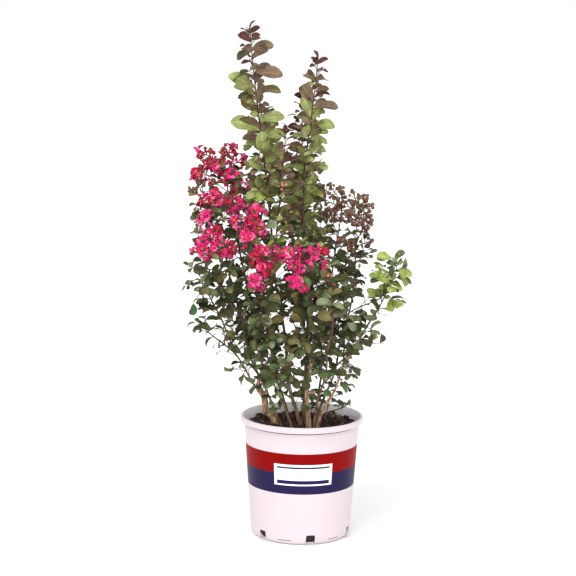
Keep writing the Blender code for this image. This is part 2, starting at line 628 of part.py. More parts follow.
def main():
    for obj in list(bpy.data.objects):
        bpy.data.objects.remove(obj)
    plant = bpy.data.collections.new("potted_crape_myrtle")
    cutters = bpy.data.collections.new("cutters")
    for collection in (plant, cutters):
        bpy.context.scene.collection.children.link(collection)
    white = material("pot_white", (0.86, 0.84, 0.86), 0.42)
    earth = material("soil_brown", (0.05, 0.03, 0.02), 0.95)
    bark = material("bark_tan", (0.36, 0.25, 0.16), 0.85)
    green = material("leaf_green", (0.10, 0.20, 0.06), 0.55)
    limbs = grow_limbs()
    pot = make_pot(plant, cutters)
    pot.data.materials.append(white)
    feet = [np.array(limb.foot) for limb in LIMBS if limb.foot is not None]
    make_soil(plant, feet).data.materials.append(earth)
    for limb in LIMBS:
        grown = limbs[limb.name]
        wood = tube(limb.name, grown.points, grown.radii, 2, plant)
        if limb.parent is None:
            cut_level(wood, SOIL_TOP + GAP)
        wood.data.materials.append(bark)
    leaders = {spray.name: leader_of(spray, limbs) for spray in SPRAYS}
    spaces = Spaces(limbs, leaders)
    for index, spray in enumerate(SPRAYS):
        made, growth, loose = make_spray(index, leaders[spray.name], spaces, plant)
        made.data.materials.clear()
        made.data.materials.append(green)
        print(f"{spray.name}: {len(growth.leaves)} leaves, {len(growth.blossom)} blossoms, {loose} scraps dropped")


main()
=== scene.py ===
"""Looks of the potted crape myrtle: fine leaves, crinkled blossom, round buds, bark, pot and soil on the CAD frame."""

import json
from collections import namedtuple
from math import cos, hypot, pi, radians, sin, sqrt, tau

import bmesh
import bpy
import numpy as np
from mathutils import Matrix, Vector
from numpy.linalg import norm

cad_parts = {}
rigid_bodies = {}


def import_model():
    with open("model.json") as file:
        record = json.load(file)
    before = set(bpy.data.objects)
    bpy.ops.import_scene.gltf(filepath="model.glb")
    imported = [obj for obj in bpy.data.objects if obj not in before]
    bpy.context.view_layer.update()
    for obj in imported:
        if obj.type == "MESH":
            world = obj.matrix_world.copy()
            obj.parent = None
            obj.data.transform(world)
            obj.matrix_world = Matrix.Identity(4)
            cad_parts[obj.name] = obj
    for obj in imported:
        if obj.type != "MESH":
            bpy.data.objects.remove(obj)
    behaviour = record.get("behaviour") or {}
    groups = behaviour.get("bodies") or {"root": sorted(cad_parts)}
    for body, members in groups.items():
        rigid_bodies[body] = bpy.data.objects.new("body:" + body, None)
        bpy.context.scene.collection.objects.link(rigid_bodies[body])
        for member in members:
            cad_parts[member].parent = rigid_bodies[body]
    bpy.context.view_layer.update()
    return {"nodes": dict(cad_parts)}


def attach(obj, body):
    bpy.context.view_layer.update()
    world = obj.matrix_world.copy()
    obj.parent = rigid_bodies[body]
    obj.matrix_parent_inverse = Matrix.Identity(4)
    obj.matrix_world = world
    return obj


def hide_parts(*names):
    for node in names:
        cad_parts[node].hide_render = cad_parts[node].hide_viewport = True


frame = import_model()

scene = bpy.context.scene

# Pot and soil, as in the CAD model, apart from the rim: here its lip stands a little further out
POT_HEIGHT = 0.270
RIM_RADIUS = 0.1366
SHOULDER = 0.258
SHOULDER_RADIUS = 0.1285
WALL = 0.0022
BASE_RADIUS = 0.1115
BASE_FILLET = 0.014
FLOOR_RISE = 0.004
POT_SIDES = 144
DRAIN_COUNT = 6
DRAIN_BEARING = radians(12)
SOIL_TOP = 0.240
CHIP_COUNT = 1750

# Printed bands and label panel
RED_TOP = 0.2092
BAND_MIDDLE = 0.1645
NAVY_BOTTOM = 0.1178
LABEL_LOW = 0.1375
LABEL_HIGH = 0.185
LABEL_HALF_ANGLE = radians(31)
LABEL_CENTRE = radians(2.5)

# Plant
SEED = 31
GAP = 0.0003
UP = np.array([0.0, 0.0, 1.0])
CROWN_AXIS = np.array([-0.010, 0.020, 0.0])
GOLDEN_ANGLE = radians(137.5)
LIMB_POINTS = 60
LIMB_SIDES = 18
WANDER = 0.0045
WANDER_TURNS = 1.7
LEADER_POINTS = 26
FLOWER_SIZE = 0.0155
BUD_SIZE = 0.0044
LEADER_TIP = 0.00088

# First and last radius of twigs, of the sprigs and forks on them, and of the stalks and pedicels of a flower head
TWIG = (0.0011, 0.0006)
SPRIG = (0.0009, 0.0005)
FORK = (0.0007, 0.0005)
STALK = (0.0016, 0.0009)
PEDICEL = (0.0009, 0.0006)

# Flower heads: the radius below which none is open, and how far down the head each flower or bud is from the last
SMALL_HEAD = 0.0125
HEAD_STEP = 0.7549

# How much of a head's radius each flower and each bud takes: in most heads, in the top left spray's, and in bud heads
FLOWER_SHARE = (0.0036, 0.0044)
BUD_SHARE = (0.0034, 0.0022)
ALL_BUDS_SHARE = 0.0012

Limb = namedtuple("Limb", "name parent along foot via tip foot_radius tip_radius")
Spray = namedtuple("Spray", "name limb along tip reach leaf leafy kind tones heads")


def metres(values):
    return [value / 1000 for value in values]


# Lengths in these tables are in millimetres, and limbs' and stubs' radii in tenths of one
LIMBS = [Limb(name, parent, along, metres(foot), metres(via), metres(tip), first / 1e4, last / 1e4)
         for name, parent, along, foot, via, tip, first, last in (
    ("trunk_left", None, 0, (-54, 12), (-78, 14, 281), (-100, 15, 333), 85, 60),
    ("bough_left_high", "trunk_left", 1, (), (-94, 20, 400), (-118, 50, 520), 46, 28),
    ("bough_left_low", "trunk_left", 0.9, (), (-142, 12, 392), (-182, 20, 478), 32, 22),
    ("stem_left", None, 0, (-42, -4), (-116, -30, 420), (-166, -50, 610), 40, 24),
    ("stem_middle", None, 0, (0, 4), (-40, 2, 416), (-75, 15, 700), 62, 34),
    ("stem_centre", None, 0, (16, -10), (13, -30, 377), (18, -85, 530), 72, 26),
    ("stem_right", None, 0, (34, -4), (70, -12, 333), (138, -30, 473), 46, 24),
    ("stem_tall_right", None, 0, (10, 24), (6, 30, 456), (-4, 40, 720), 56, 32),
    ("stem_buds", None, 0, (36, 24), (40, 30, 390), (64, 30, 600), 42, 24),
    ("bough_arch", "stem_buds", 0.62, (), (105, -4, 505), (158, -45, 537), 22, 16),
    ("stem_front", None, 0, (-18, -24), (-62, -62, 371), (-80, -108, 500), 36, 22),
    ("stem_front_right", None, 0, (24, -32), (44, -75, 360), (62, -118, 480), 34, 22),
    ("stem_back_left", None, 0, (-26, 36), (-70, 88, 400), (-105, 130, 560), 44, 26),
    ("stem_back", None, 0, (2, 48), (12, 105, 400), (12, 145, 590), 44, 26),
    ("stem_back_right", None, 0, (28, 46), (78, 90, 380), (112, 118, 530), 42, 24),
)]

# Leaf colours, each a darker and a lighter or bronzed one that it wanders between, and the mix for each kind of spray
TONES = {
    "deep": ((0.026, 0.020, 0.007), (0.066, 0.074, 0.026)),
    "green": ((0.044, 0.048, 0.015), (0.120, 0.170, 0.062)),
    "jade": ((0.036, 0.072, 0.022), (0.078, 0.160, 0.056)),
    "moss": ((0.092, 0.062, 0.026), (0.190, 0.166, 0.060)),
    # Pale grey-green leaves: partly paler leaves, partly a painted sheen in place of glossy highlights
    "sage_and_sheen": ((0.100, 0.105, 0.056), (0.240, 0.280, 0.155)),
    "olive": ((0.140, 0.118, 0.052), (0.335, 0.405, 0.130)),
    "bright": ((0.150, 0.185, 0.036), (0.350, 0.430, 0.110)),
    "bronze": ((0.085, 0.044, 0.031), (0.205, 0.150, 0.085)),
    "burgundy": ((0.048, 0.015, 0.014), (0.130, 0.050, 0.038)),
}
SHADE = {"deep": 6, "green": 4, "moss": 2, "sage_and_sheen": 1}
LOW = {"deep": 5, "green": 7, "jade": 2, "moss": 1, "sage_and_sheen": 1}
SUN = {"bright": 9, "green": 2, "olive": 2}
BLOOM = {"deep": 4, "green": 3, "moss": 3, "olive": 1, "sage_and_sheen": 1}
BUDDED = {"deep": 5, "green": 2, "moss": 3, "bronze": 1}
SPIRE = {"olive": 8, "bright": 1, "moss": 2, "bronze": 2}
MIDDLE = {"olive": 3, "green": 3, "moss": 4, "deep": 3, "sage_and_sheen": 1}

SPRAYS = [Spray(name, limb, along, metres(tip), reach / 1000, leaf / 1000, leafy, kind, tones, list(map(metres, heads)))
          for name, limb, along, tip, reach, leaf, leafy, kind, tones, *heads in (
    ("spire_left", "stem_middle", 1, (-125, 10, 1118), 56, 50, 1, "spire", SPIRE),
    ("spire_right", "stem_tall_right", 1, (23, 40, 1055), 50, 45, 1, "spire", SPIRE),
    ("spire_middle", "stem_tall_right", 0.86, (-11, 95, 975), 44, 40, 1, "spire", SPIRE),
    ("spire_small", "stem_middle", 0.8, (-44, -25, 905), 42, 38, 1, "spire", SPIRE,
     (-48, -40, 779, 12)),
    ("bloom_top_left", "bough_left_high", 1, (-181, 35, 835), 64, 40, 1.2, "bloom", BLOOM,
     (-222, 30, 845, 18), (-170, 40, 850, 18), (-196, 0, 822, 20), (-150, 45, 828, 18), (-168, 5, 795, 24),
     (-228, -10, 803, 20)),
    ("bloom_left", "stem_left", 1, (-212, -45, 735), 60, 40, 1.5, "bloom", BLOOM,
     (-201, -65, 755, 22), (-155, -75, 745, 22), (-212, -85, 715, 22)),
    ("bloom_left_low", "stem_left", 0.7, (-222, -90, 640), 56, 40, 1.5, "bloom", BLOOM,
     (-194, -110, 680, 20), (-217, -100, 655, 24), (-163, -125, 656, 20)),
    ("bloom_centre_left", "stem_front", 1, (-110, -118, 700), 58, 40, 1, "bloom", BLOOM,
     (-104, -135, 722, 30), (-136, -120, 708, 20), (-116, -155, 680, 22)),
    ("bloom_centre", "stem_front", 0.72, (-88, -172, 625), 58, 40, 1.2, "bloom", BLOOM,
     (-91, -182, 644, 24), (-99, -186, 594, 17), (-64, -165, 652, 16)),
    ("bloom_centre_right", "stem_centre", 1, (-12, -160, 630), 56, 40, 1, "bloom", BLOOM,
     (-28, -182, 647, 26), (-14, -184, 596, 19), (10, -172, 648, 20)),
    ("bloom_right", "stem_front_right", 1, (46, -140, 625), 56, 40, 1, "bloom", BLOOM,
     (36, -152, 648, 19), (54, -160, 600, 12)),
    ("buds_top_right", "stem_buds", 1, (82, 30, 735), 62, 38, 0.7, "buds", BUDDED,
     (41, 45, 771, 11), (61, 40, 770, 12), (81, 35, 764, 11), (55, 30, 742, 14), (79, 30, 738, 14),
     (47, 20, 716, 13), (68, 10, 718, 14)),
    ("buds_right", "stem_buds", 0.8, (128, 5, 695), 58, 38, 0.8, "buds", BUDDED,
     (109, 0, 757, 13), (132, 15, 749, 11), (96, -10, 738, 13), (123, 10, 730, 13), (141, 20, 731, 10),
     (92, -20, 717, 14), (108, 0, 708, 12), (139, 10, 697, 11), (138, 0, 658, 10), (84, -40, 667, 11),
     (101, -40, 654, 11)),
    ("right_tip", "stem_right", 1, (182, -30, 555), 54, 40, 1.1, "leafy", SUN),
    ("arch_right", "bough_arch", 1, (205, -55, 640), 52, 42, 1.35, "leafy", SUN),
    ("left_low", "bough_left_low", 1, (-232, 5, 586), 58, 43, 1.2, "leafy", LOW),
    ("left_lowest", "bough_left_low", 0.55, (-236, 35, 474), 50, 36, 1, "leafy", LOW),
    ("left_front", "stem_left", 0.36, (-152, -92, 456), 64, 40, 1, "leafy", LOW),
    ("low_front", "stem_front", 0.46, (-50, -150, 420), 66, 40, 1, "leafy", LOW),
    ("low_right", "stem_front_right", 0.5, (110, -90, 430), 66, 40, 0.6, "leafy", LOW),
    ("low_right_back", "stem_back_right", 0.46, (128, 45, 424), 66, 40, 0.5, "leafy", LOW),
    ("core_left", "bough_left_high", 0.3, (-105, 0, 560), 78, 41, 1.5, "leafy", SHADE),
    ("core_middle", "stem_tall_right", 0.48, (30, -20, 680), 80, 38, 1.45, "leafy", MIDDLE),
    ("core_right", "stem_right", 0.62, (88, -60, 560), 72, 39, 1.45, "leafy", SHADE),
    ("middle_front", "stem_centre", 0.55, (-22, -100, 500), 74, 39, 1.35, "leafy", SHADE),
    ("back_left", "stem_back_left", 1, (-140, 165, 740), 70, 42, 1, "bloom", BLOOM,
     (-150, 175, 770, 26), (-118, 180, 740, 22), (-178, 160, 730, 22)),
    ("back_middle", "stem_back", 1, (-10, 180, 800), 70, 42, 1, "buds", MIDDLE,
     (-10, 185, 830, 22), (20, 195, 800, 18)),
    ("back_right", "stem_back_right", 1, (118, 150, 690), 68, 42, 0.6, "buds", BUDDED,
     (112, 158, 712, 22), (136, 140, 690, 18)),
    ("back_low_left", "stem_back_left", 0.5, (-150, 130, 450), 60, 38, 1, "leafy", SHADE),
    ("back_low", "stem_back", 0.45, (40, 190, 450), 60, 38, 0.8, "leafy", SHADE),
    ("basal_right", "stem_right", 0.14, (104, 20, 292), 30, 18, 1, "leafy", LOW),
)]

# How thick the clearest limbs look against the CAD model's; these have the tan bark, the rest the brown
LIMB_LOOK = {"trunk_left": 1.12, "bough_left_high": 0.95, "stem_centre": 0.86, "stem_right": 0.80}
OTHER_LIMBS = 0.70

# Stubs of cut branches: limb, share of its length, bearing round it, length and radius
STUBS = (
    ("trunk_left", 0.72, 3.3, 11, 36), ("trunk_left", 0.86, 2.8, 12, 32), ("trunk_left", 0.78, 3.8, 7, 28),
    ("stem_centre", 0.28, 2.8, 12, 34), ("stem_centre", 0.36, 0.4, 8, 26), ("stem_middle", 0.16, 0.6, 10, 28),
    ("stem_tall_right", 0.15, 5.6, 10, 26), ("stem_right", 0.3, 3.4, 7, 22), ("stem_left", 0.22, 1.2, 7, 20),
)

# Single leaves that stand out against the sky, by spray: share of its stem, the leaf's tip and its tone
BLADES = {
    "spire_left": (
        (0.9, -80, 1, 1093, "bronze"), (0.89, -157, 11, 1064, "deep"), (0.78, -58, 2, 1033, "bronze"),
        (0.7, -160, -3, 1025, "olive"), (0.68, -61, 8, 1003, "moss"), (0.67, -150, 13, 979, "deep"),
        (0.61, -119, -7, 970, "olive"), (0.53, -55, 4, 942, "olive"), (0.48, -155, 0, 928, "olive"),
        (0.59, -139, 14, 966, "bronze"), (0.42, -55, 0, 908, "olive"), (0.43, -138, 15, 895, "bronze"),
        (0.35, -94, -14, 888, "olive"), (0.3, -50, -4, 856, "olive"), (0.26, -113, -14, 838, "olive"),
        (0.14, -95, -14, 792, "olive"), (0.16, -43, -4, 799, "olive"),
    ),
    "spire_right": (
        (0.62, -1, 31, 974, "olive"), (0.7, 65, 35, 962, "bronze"), (0.55, 59, 41, 926, "olive"),
        (0.48, 48, 41, 887, "olive"), (0.58, -7, 21, 894, "olive"), (0.35, -9, 21, 865, "moss"),
        (0.41, 44, 41, 869, "olive"), (0.28, 43, 41, 829, "moss"), (0.84, -2, 40, 1004, "olive"),
        (0.79, 46, 40, 999, "bronze"),
    ),
}

# Leafy sprigs that stand out in the same way: spray, share of its stem, the sprig's tip, leaf length and number of buds
SPRIGS = (
    ("bloom_left", 0.95, -236, -45, 743, 34, 0), ("bloom_left", 1, -246, -35, 773, 24, 7),
    ("bloom_left", 1, -229, -35, 792, 20, 9), ("bloom_left_low", 1, -232, -70, 694, 24, 0),
    ("left_lowest", 0.6, -237, 27, 453, 34, 0), ("left_lowest", 0.76, -218, 10, 485, 36, 0),
    ("left_front", 1, -188, -92, 444, 26, 0), ("left_front", 0.35, -131, -48, 363, 42, 0),
    ("right_tip", 0.02, 156, -30, 463, 36, 0), ("right_tip", 0.75, 156, -31, 554, 38, 0),
    ("arch_right", 0.84, 182, -55, 635, 50, 0), ("arch_right", 0.59, 169, -56, 609, 38, 0),
    ("low_right", 0.36, 91, -79, 353, 34, 0), ("low_right", 0.52, 109, -62, 370, 30, 0),
    ("low_front", 0.75, -11, -131, 373, 36, 0), ("low_front", 1, 25, -120, 382, 36, 0),
    ("buds_right", 0.78, 104, 10, 678, 36, 0), ("buds_right", 0.88, 133, 7, 681, 34, 3),
    ("buds_top_right", 0.44, 69, 30, 682, 36, 0), ("bloom_right", 1, 38, -120, 657, 45, 0),
    ("bloom_left_low", 0.55, -155, -100, 612, 36, 0), ("bloom_left_low", 0.45, -177, -90, 628, 34, 0),
    ("bloom_left_low", 0.35, -147, -80, 579, 36, 0), ("left_low", 0.9, -252, 0, 601, 36, 0),
    ("left_low", 0.8, -258, 0, 558, 36, 0), ("left_low", 0.7, -249, 0, 507, 36, 0),
    ("left_low", 0.95, -223, -10, 621, 34, 0), ("buds_right", 0.5, 116, 0, 615, 38, 0),
    ("buds_right", 0.3, 124, 0, 575, 38, 0), ("core_right", 1, 89, -50, 587, 38, 0),
    ("buds_right", 0.45, 96, -20, 644, 36, 0), ("buds_right", 0.6, 136, 0, 642, 36, 0),
    ("buds_top_right", 0.75, 60, 20, 692, 36, 0), ("buds_top_right", 0.6, 38, 10, 680, 36, 0),
    ("buds_right", 0.85, 104, -20, 684, 36, 0), ("buds_right", 0.9, 126, 0, 673, 34, 0),
)

# Gaps in the crown where the photo shows sky: place across and up in the plane of the pot's axis, and radius
SKY = [metres(gap) for gap in (
    (116, 524, 20), (-166, 396, 20), (140, 414, 13), (145, 382, 13), (-81, 324, 11), (-36, 470, 14), (-18, 472, 9),
    (-180, 445, 9), (176, 491, 9), (-254, 525, 11), (157, 658, 11), (25, 694, 9), (137, 593, 11), (-187, 384, 14),
    (-237, 426, 18), (141, 390, 18), (185, 424, 16),
)]

# The camera that the pot's rim, bands and base in the photo fit
EYE = np.array([0.0, -3.8, 1.138])
CAMERA_PITCH, CAMERA_YAW, CAMERA_ROLL = np.radians((8.72, -0.525, 0.796))
CAMERA_LENS, CAMERA_SENSOR = 108.75, 36

# Lamps: strength, width in degrees and direction
LAMPS = {"window": (1.1, 28, (0.35, 0.62, -0.95)), "fill": (1.6, 40, (-0.15, 0.95, -0.13))}


def unit(vector):
    return vector / norm(vector)


def curve_through(start, via, tip, count):
    """Points of the parabola that starts at one point, passes the second halfway and ends at the third."""
    control = 2 * via - (start + tip) / 2
    t = np.linspace(0, 1, count)[:, None]
    return (1 - t) ** 2 * start + 2 * t * (1 - t) * control + t**2 * tip


def point_along(points, share):
    """The point at that share of a path's length, and the path's direction there."""
    steps = norm(np.diff(points, axis=0), axis=1)
    at = share * steps.sum()
    run = np.concatenate([[0], np.cumsum(steps)])
    i = min(int(np.searchsorted(run, at, side="right")) - 1, len(steps) - 1)
    direction = unit(points[i + 1] - points[i])
    return points[i] + direction * (at - run[i]), direction


def path_length(points):
    return norm(np.diff(points, axis=0), axis=1).sum()


def across(direction, azimuth):
    """A unit vector at right angles to direction, turned round it by the azimuth."""
    side = np.cross(direction, UP)
    if norm(side) < 0.2:
        side = np.cross(direction, np.array([0.0, 1.0, 0.0]))
    side = unit(side)
    return cos(azimuth) * side + sin(azimuth) * np.cross(direction, side)


def square_to(vector, direction):
    """The unit vector at right angles to the direction that is nearest to the vector."""
    return unit(vector - (vector @ direction) * direction)


def branch_start(parent, along, heading):
    """Where a branch of that heading leaves its parent limb."""
    point, direction = point_along(parent.points, along)
    if along == 1:
        return point
    width = np.interp(along, np.linspace(0, 1, len(parent.radii)), parent.radii)
    return point + square_to(heading, direction) * (width * 0.6 + GAP)


def turned(axis, azimuth):
    """Three directions at right angles, the last along the axis, turned round it by the azimuth."""
    side = across(axis, azimuth)
    return np.stack([side, np.cross(axis, side), axis])


GrownLimb = namedtuple("GrownLimb", "points radii")


def grow_limbs():
    """Every limb as a smooth path with a radius at each point, by name."""
    grown = {}
    for limb in LIMBS:
        via, tip = np.array(limb.via), np.array(limb.tip)
        if limb.parent is None:
            start = np.array([*limb.foot, SOIL_TOP - 0.004])
        else:
            start, _ = point_along(grown[limb.parent].points, limb.along)
        for _ in range(3):
            points = curve_through(start, via, tip, LIMB_POINTS)
            if limb.parent is not None:
                heading = unit(points[1] - points[0])
                start = branch_start(grown[limb.parent], limb.along, heading)
        t = np.linspace(0, 1, LIMB_POINTS)
        turn = tau * WANDER_TURNS * t + 40 * start[0] + 25 * start[1]
        wander = (WANDER if limb.parent is None else WANDER / 2) * np.sin(pi * t)
        points = points + np.stack([wander * np.cos(turn), wander * np.sin(1.3 * turn), 0 * t], axis=1)
        radii = limb.foot_radius + t**0.8 * (limb.tip_radius - limb.foot_radius)
        if limb.parent is None:
            radii *= 1 + 0.35 * np.clip(1 - t / 0.2, 0, 1) ** 1.5
        grown[limb.name] = GrownLimb(points, radii)
    return grown


def leader_of(spray, limbs):
    """The spray's own stem: it goes on from its limb and bends up towards its tip."""
    parent, tip = limbs[spray.limb], np.array(spray.tip)
    radius = parent.radii[-1] if spray.along == 1 else min(0.0022, parent.radii[-1])
    start, direction = point_along(parent.points, spray.along)
    toward = unit(tip - start)
    heading = direction if spray.along == 1 else unit(0.35 * direction + 1.1 * toward)
    start = branch_start(parent, spray.along, heading)
    span = norm(tip - start)
    arrive = unit(0.5 * UP + unit(tip - start))
    controls = (start, start + heading * span * 0.30, tip - arrive * span * 0.35, tip)
    t = np.linspace(0, 1, LEADER_POINTS)[:, None]
    weights = ((1 - t) ** 3, 3 * t * (1 - t) ** 2, 3 * t**2 * (1 - t), t**3)
    points = sum(w * c for w, c in zip(weights, controls))
    return points, (radius, LEADER_TIP)


class Spaces:
    """Which spray each part of the crown belongs to."""

    def __init__(self, leaders):
        rows = []
        for index, spray in enumerate(SPRAYS):
            for share in np.linspace(0, 1, 11):
                centre, _ = point_along(leaders[spray.name][0], share)
                size = spray.reach * (0.62 + 0.38 * sin(pi * min(1, 0.15 + share)))
                rows.append((*centre, size, index))
            rows += [(*centre, radius + 0.022, index) for *centre, radius in spray.heads]
        rows = np.array(rows)
        self.centres, self.sizes, self.owners = rows[:, :3], rows[:, 3], rows[:, 4]

    def holds(self, index, points, reach=1.12):
        """True if all the points lie in the spray's reach, and about as near to it as to any other spray."""
        away = norm(points[:, None] - self.centres[None], axis=2) / self.sizes
        own = away[:, self.owners == index].min(axis=1)
        others = away[:, self.owners != index].min(axis=1)
        return bool((own < reach).all() and (others > own - 0.12).all())


class Batch:
    """Many small shapes gathered into one mesh."""

    def __init__(self):
        self.verts, self.faces, self.marks, self.count = [], [], [], 0
        self.places = []

    def add(self, verts, faces, mark=0):
        self.verts.append(np.asarray(verts, float).reshape(-1, 3))
        self.faces.append(np.asarray(faces, int) + self.count)
        self.marks.append(np.full(len(faces), mark, int) if np.isscalar(mark) else mark)
        self.count += len(self.verts[-1])

    def piece(self, name, materials, slot="foliage"):
        """The joined mesh as a piece of the scene that rides on the plant."""
        mesh = bpy.data.meshes.new(name)
        faces = [face for group in self.faces for face in group.tolist()]
        mesh.from_pydata(np.concatenate(self.verts).tolist(), [], faces)
        mesh.polygons.foreach_set("material_index", np.concatenate(self.marks))
        mesh.polygons.foreach_set("use_smooth", np.ones(len(mesh.polygons), bool))
        if self.places:
            loops = np.concatenate([group.ravel() for group in self.faces])
            layer = mesh.uv_layers.new(name="blade")
            layer.uv.foreach_set("vector", np.concatenate(self.places)[loops].ravel())
        mesh.validate()
        return add_piece(name, mesh, materials)


def stand(name, data):
    """A new object in the scene."""
    obj = bpy.data.objects.new(name, data)
    scene.collection.objects.link(obj)
    return obj


def add_piece(name, mesh, materials):
    obj = stand(name, mesh)
    for made in materials:
        mesh.materials.append(made)
    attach(obj, "root")
    return obj


def mesh_from(bm, name):
    mesh = bpy.data.meshes.new(name)
    bm.to_mesh(mesh)
    bm.free()
    return mesh


def grid_faces(rows, columns, closed=False):
    """Quads over rows of points; closed joins each row's last point to its first."""
    row, column = np.meshgrid(np.arange(rows - 1), np.arange(columns if closed else columns - 1), indexing="ij")
    low, high, following = row * columns, (row + 1) * columns, (column + 1) % columns
    return np.stack([low + column, low + following, high + following, high + column], axis=-1).reshape(-1, 4)


def tube(batch, points, radii, sides, mark=0, ripple=None):
    """Adds a tube along a path, with its far end closed; the radii are the first and last, or one for each point."""
    points = np.asarray(points)
    if len(radii) == 2:
        radii = np.linspace(*radii, len(points))
    tangents = np.gradient(points, axis=0)
    tangents /= norm(tangents, axis=1)[:, None]
    normal = across(tangents[0], 0)
    angles = np.linspace(0, tau, sides, endpoint=False)
    rings = []
    for i, (point, tangent, radius) in enumerate(zip(points, tangents, radii)):
        normal = square_to(normal, tangent)
        other = np.cross(tangent, normal)
        size = np.reshape(radius * (1 if ripple is None else ripple[i]), (-1, 1))
        rings.append(point + (np.cos(angles)[:, None] * normal + np.sin(angles)[:, None] * other) * size)
    batch.add(np.concatenate(rings), grid_faces(len(points), sides, True), mark)
    tip = points[-1] + tangents[-1] * radii[-1] * 0.6
    batch.add(np.vstack([rings[-1], tip]), [[i, (i + 1) % sides, sides] for i in range(sides)], mark)


Leaf = namedtuple("Leaf", "root direction normal length width bend fold")

# A leaf's half width, as a share of its widest, at shares of its length: widest beyond the middle, with a blunt tip
LEAF_ROWS = ((0.0, 0.06), (0.12, 0.34), (0.30, 0.74), (0.50, 0.97), (0.68, 1.0), (0.84, 0.80), (0.95, 0.44),
             (1.0, 0.05))


def add_leaves(batch, leaves):
    """Adds leaves that fold along the midrib and bow towards their tips."""
    root, along, up = (np.array([leaf[i] for leaf in leaves]) for i in range(3))
    length, width, bend, fold = (np.array([leaf[i] for leaf in leaves])[:, None] for i in range(3, 7))
    side = np.cross(up, along)
    u, half = np.array(LEAF_ROWS).T
    turn = bend * u
    forward = length * np.sin(turn) / bend
    down = length * (1 - np.cos(turn)) / bend
    middle = root[:, None] + forward[..., None] * along[:, None] - down[..., None] * up[:, None]
    lift = np.sin(turn)[..., None] * along[:, None] + np.cos(turn)[..., None] * up[:, None]
    reach = (length * width * half / 2)[..., None]
    wave = (0.10 * np.sin(u * 9 + root[:, :1] * 900))[..., None] * reach
    slope = np.sin(fold)[..., None]
    spread = np.cos(fold)[..., None]
    left = middle + reach * spread * side[:, None] + (reach * slope + wave) * lift
    right = middle - reach * spread * side[:, None] + (reach * slope - wave) * lift
    verts = np.stack([left, middle, right], axis=2)
    rows = len(u)
    offsets = np.arange(len(leaves))[:, None, None] * rows * 3
    batch.add(verts, (grid_faces(rows, 3) + offsets).reshape(-1, 4))
    place = np.stack(np.broadcast_arrays(np.array([0.0, 0.5, 1.0])[None], u[:, None]), axis=-1).reshape(-1, 2)
    batch.places.append(np.tile(place, (len(leaves), 1)))


# A petal's half width at shares of its length: a thin claw that opens into a ruffled blade
PETAL_ROWS = ((0.0, 0.04), (0.34, 0.06), (0.46, 0.42), (0.60, 0.86), (0.78, 1.0), (0.92, 0.84), (1.0, 0.45))
PETAL_COLUMNS = 5


def add_petals(batch, flowers, rng):
    """Adds six crinkled petals for each flower: (centre, axis, size, mark)."""
    u, half = np.array(PETAL_ROWS).T
    v = np.linspace(-1, 1, PETAL_COLUMNS)
    rows = len(u)
    quads = grid_faces(rows, PETAL_COLUMNS)
    for centre, axis, size, mark in flowers:
        start = rng.uniform(0, tau)
        for k in range(6):
            out = across(axis, start + k * tau / 6 + rng.uniform(-0.15, 0.15))
            side = np.cross(axis, out)
            rise = rng.uniform(0.05, 0.95)
            length = size * rng.uniform(0.86, 1.12)
            curl = rng.uniform(-0.2, 1.3)
            forward = length * u * cos(rise)
            height = length * (u * sin(rise) - curl * 0.45 * u**3)
            ruffle = rng.normal(0, 1, (rows, PETAL_COLUMNS)) * 0.22 * size * u[:, None] ** 2
            wave = 0.22 * size * np.sin(v[None] * 6 + rng.uniform(0, 6)) * u[:, None] ** 2
            spread = size * 0.40 * half[:, None] * v[None]
            shift = rng.normal(0, 1, (rows, PETAL_COLUMNS)) * 0.06 * size * u[:, None] ** 2
            verts = (centre + (forward[:, None] + shift)[..., None] * out
                     + (height[:, None] + ruffle + wave)[..., None] * axis + spread[..., None] * side)
            batch.add(verts, quads, 2 if mark == 0 and rng.uniform() < 0.30 else mark)


def ball(columns, rows):
    """A unit ball's points and faces, with its poles on Z."""
    verts = [(0, 0, -1)]
    for j in range(1, rows):
        low = -cos(pi * j / rows)
        ring = sin(pi * j / rows)
        verts += [(ring * cos(tau * i / columns), ring * sin(tau * i / columns), low)
                  for i in range(columns)]
    verts.append((0, 0, 1))
    quads = [(1 + j * columns + i, 1 + j * columns + (i + 1) % columns,
              1 + (j + 1) * columns + (i + 1) % columns, 1 + (j + 1) * columns + i)
             for j in range(rows - 2) for i in range(columns)]
    top = len(verts) - 1
    base = 1 + (rows - 2) * columns
    caps = [(0, 1 + (i + 1) % columns, 1 + i) for i in range(columns)]
    caps += [(base + i, base + (i + 1) % columns, top) for i in range(columns)]
    return np.array(verts), np.array(quads), np.array(caps)


def add_buds(batch, buds, rng):
    """Adds round buds, green at the foot and red above, ridged like the real calyx: (centre, axis, size, faded)."""
    verts, quads, caps = ball(10, 7)
    turn = np.arctan2(verts[:, 1], verts[:, 0])
    ridge = 1 + 0.06 * np.cos(6 * turn) * (1 - verts[:, 2] ** 2)
    shape = verts * ridge[:, None]
    shape[-1, 2] = 1.16
    upper = (np.arange(len(quads)) >= 20).astype(int)
    for centre, axis, size, faded in buds:
        ripe = 1 if rng.uniform() < 0.65 else 3
        quad_marks = np.full(len(quads), 2) if faded else upper * ripe
        cap_marks = np.full(20, 2) if faded else np.array([0] * 10 + [ripe] * 10)
        spots = centre + shape @ turned(axis, rng.uniform(0, 6)) * size
        batch.add(spots, quads, quad_marks)
        batch.add([], caps - len(spots), cap_marks)


def deal(tones, rng, share=0.0, spire=False):
    """The tone of the next leaf. A spire's leaves go from olive to bronze and burgundy towards the tip."""
    if spire and share > 0.93:
        return "burgundy"
    if spire and share > 0.72:
        return ("bronze", "burgundy", "moss", "bronze")[rng.integers(4)]
    if spire and share > 0.45:
        return ("bronze", "bronze", "olive", "moss")[rng.integers(4)]
    names = list(tones)
    weights = np.array([tones[name] for name in names], float)
    return names[rng.choice(len(names), p=weights / weights.sum())]


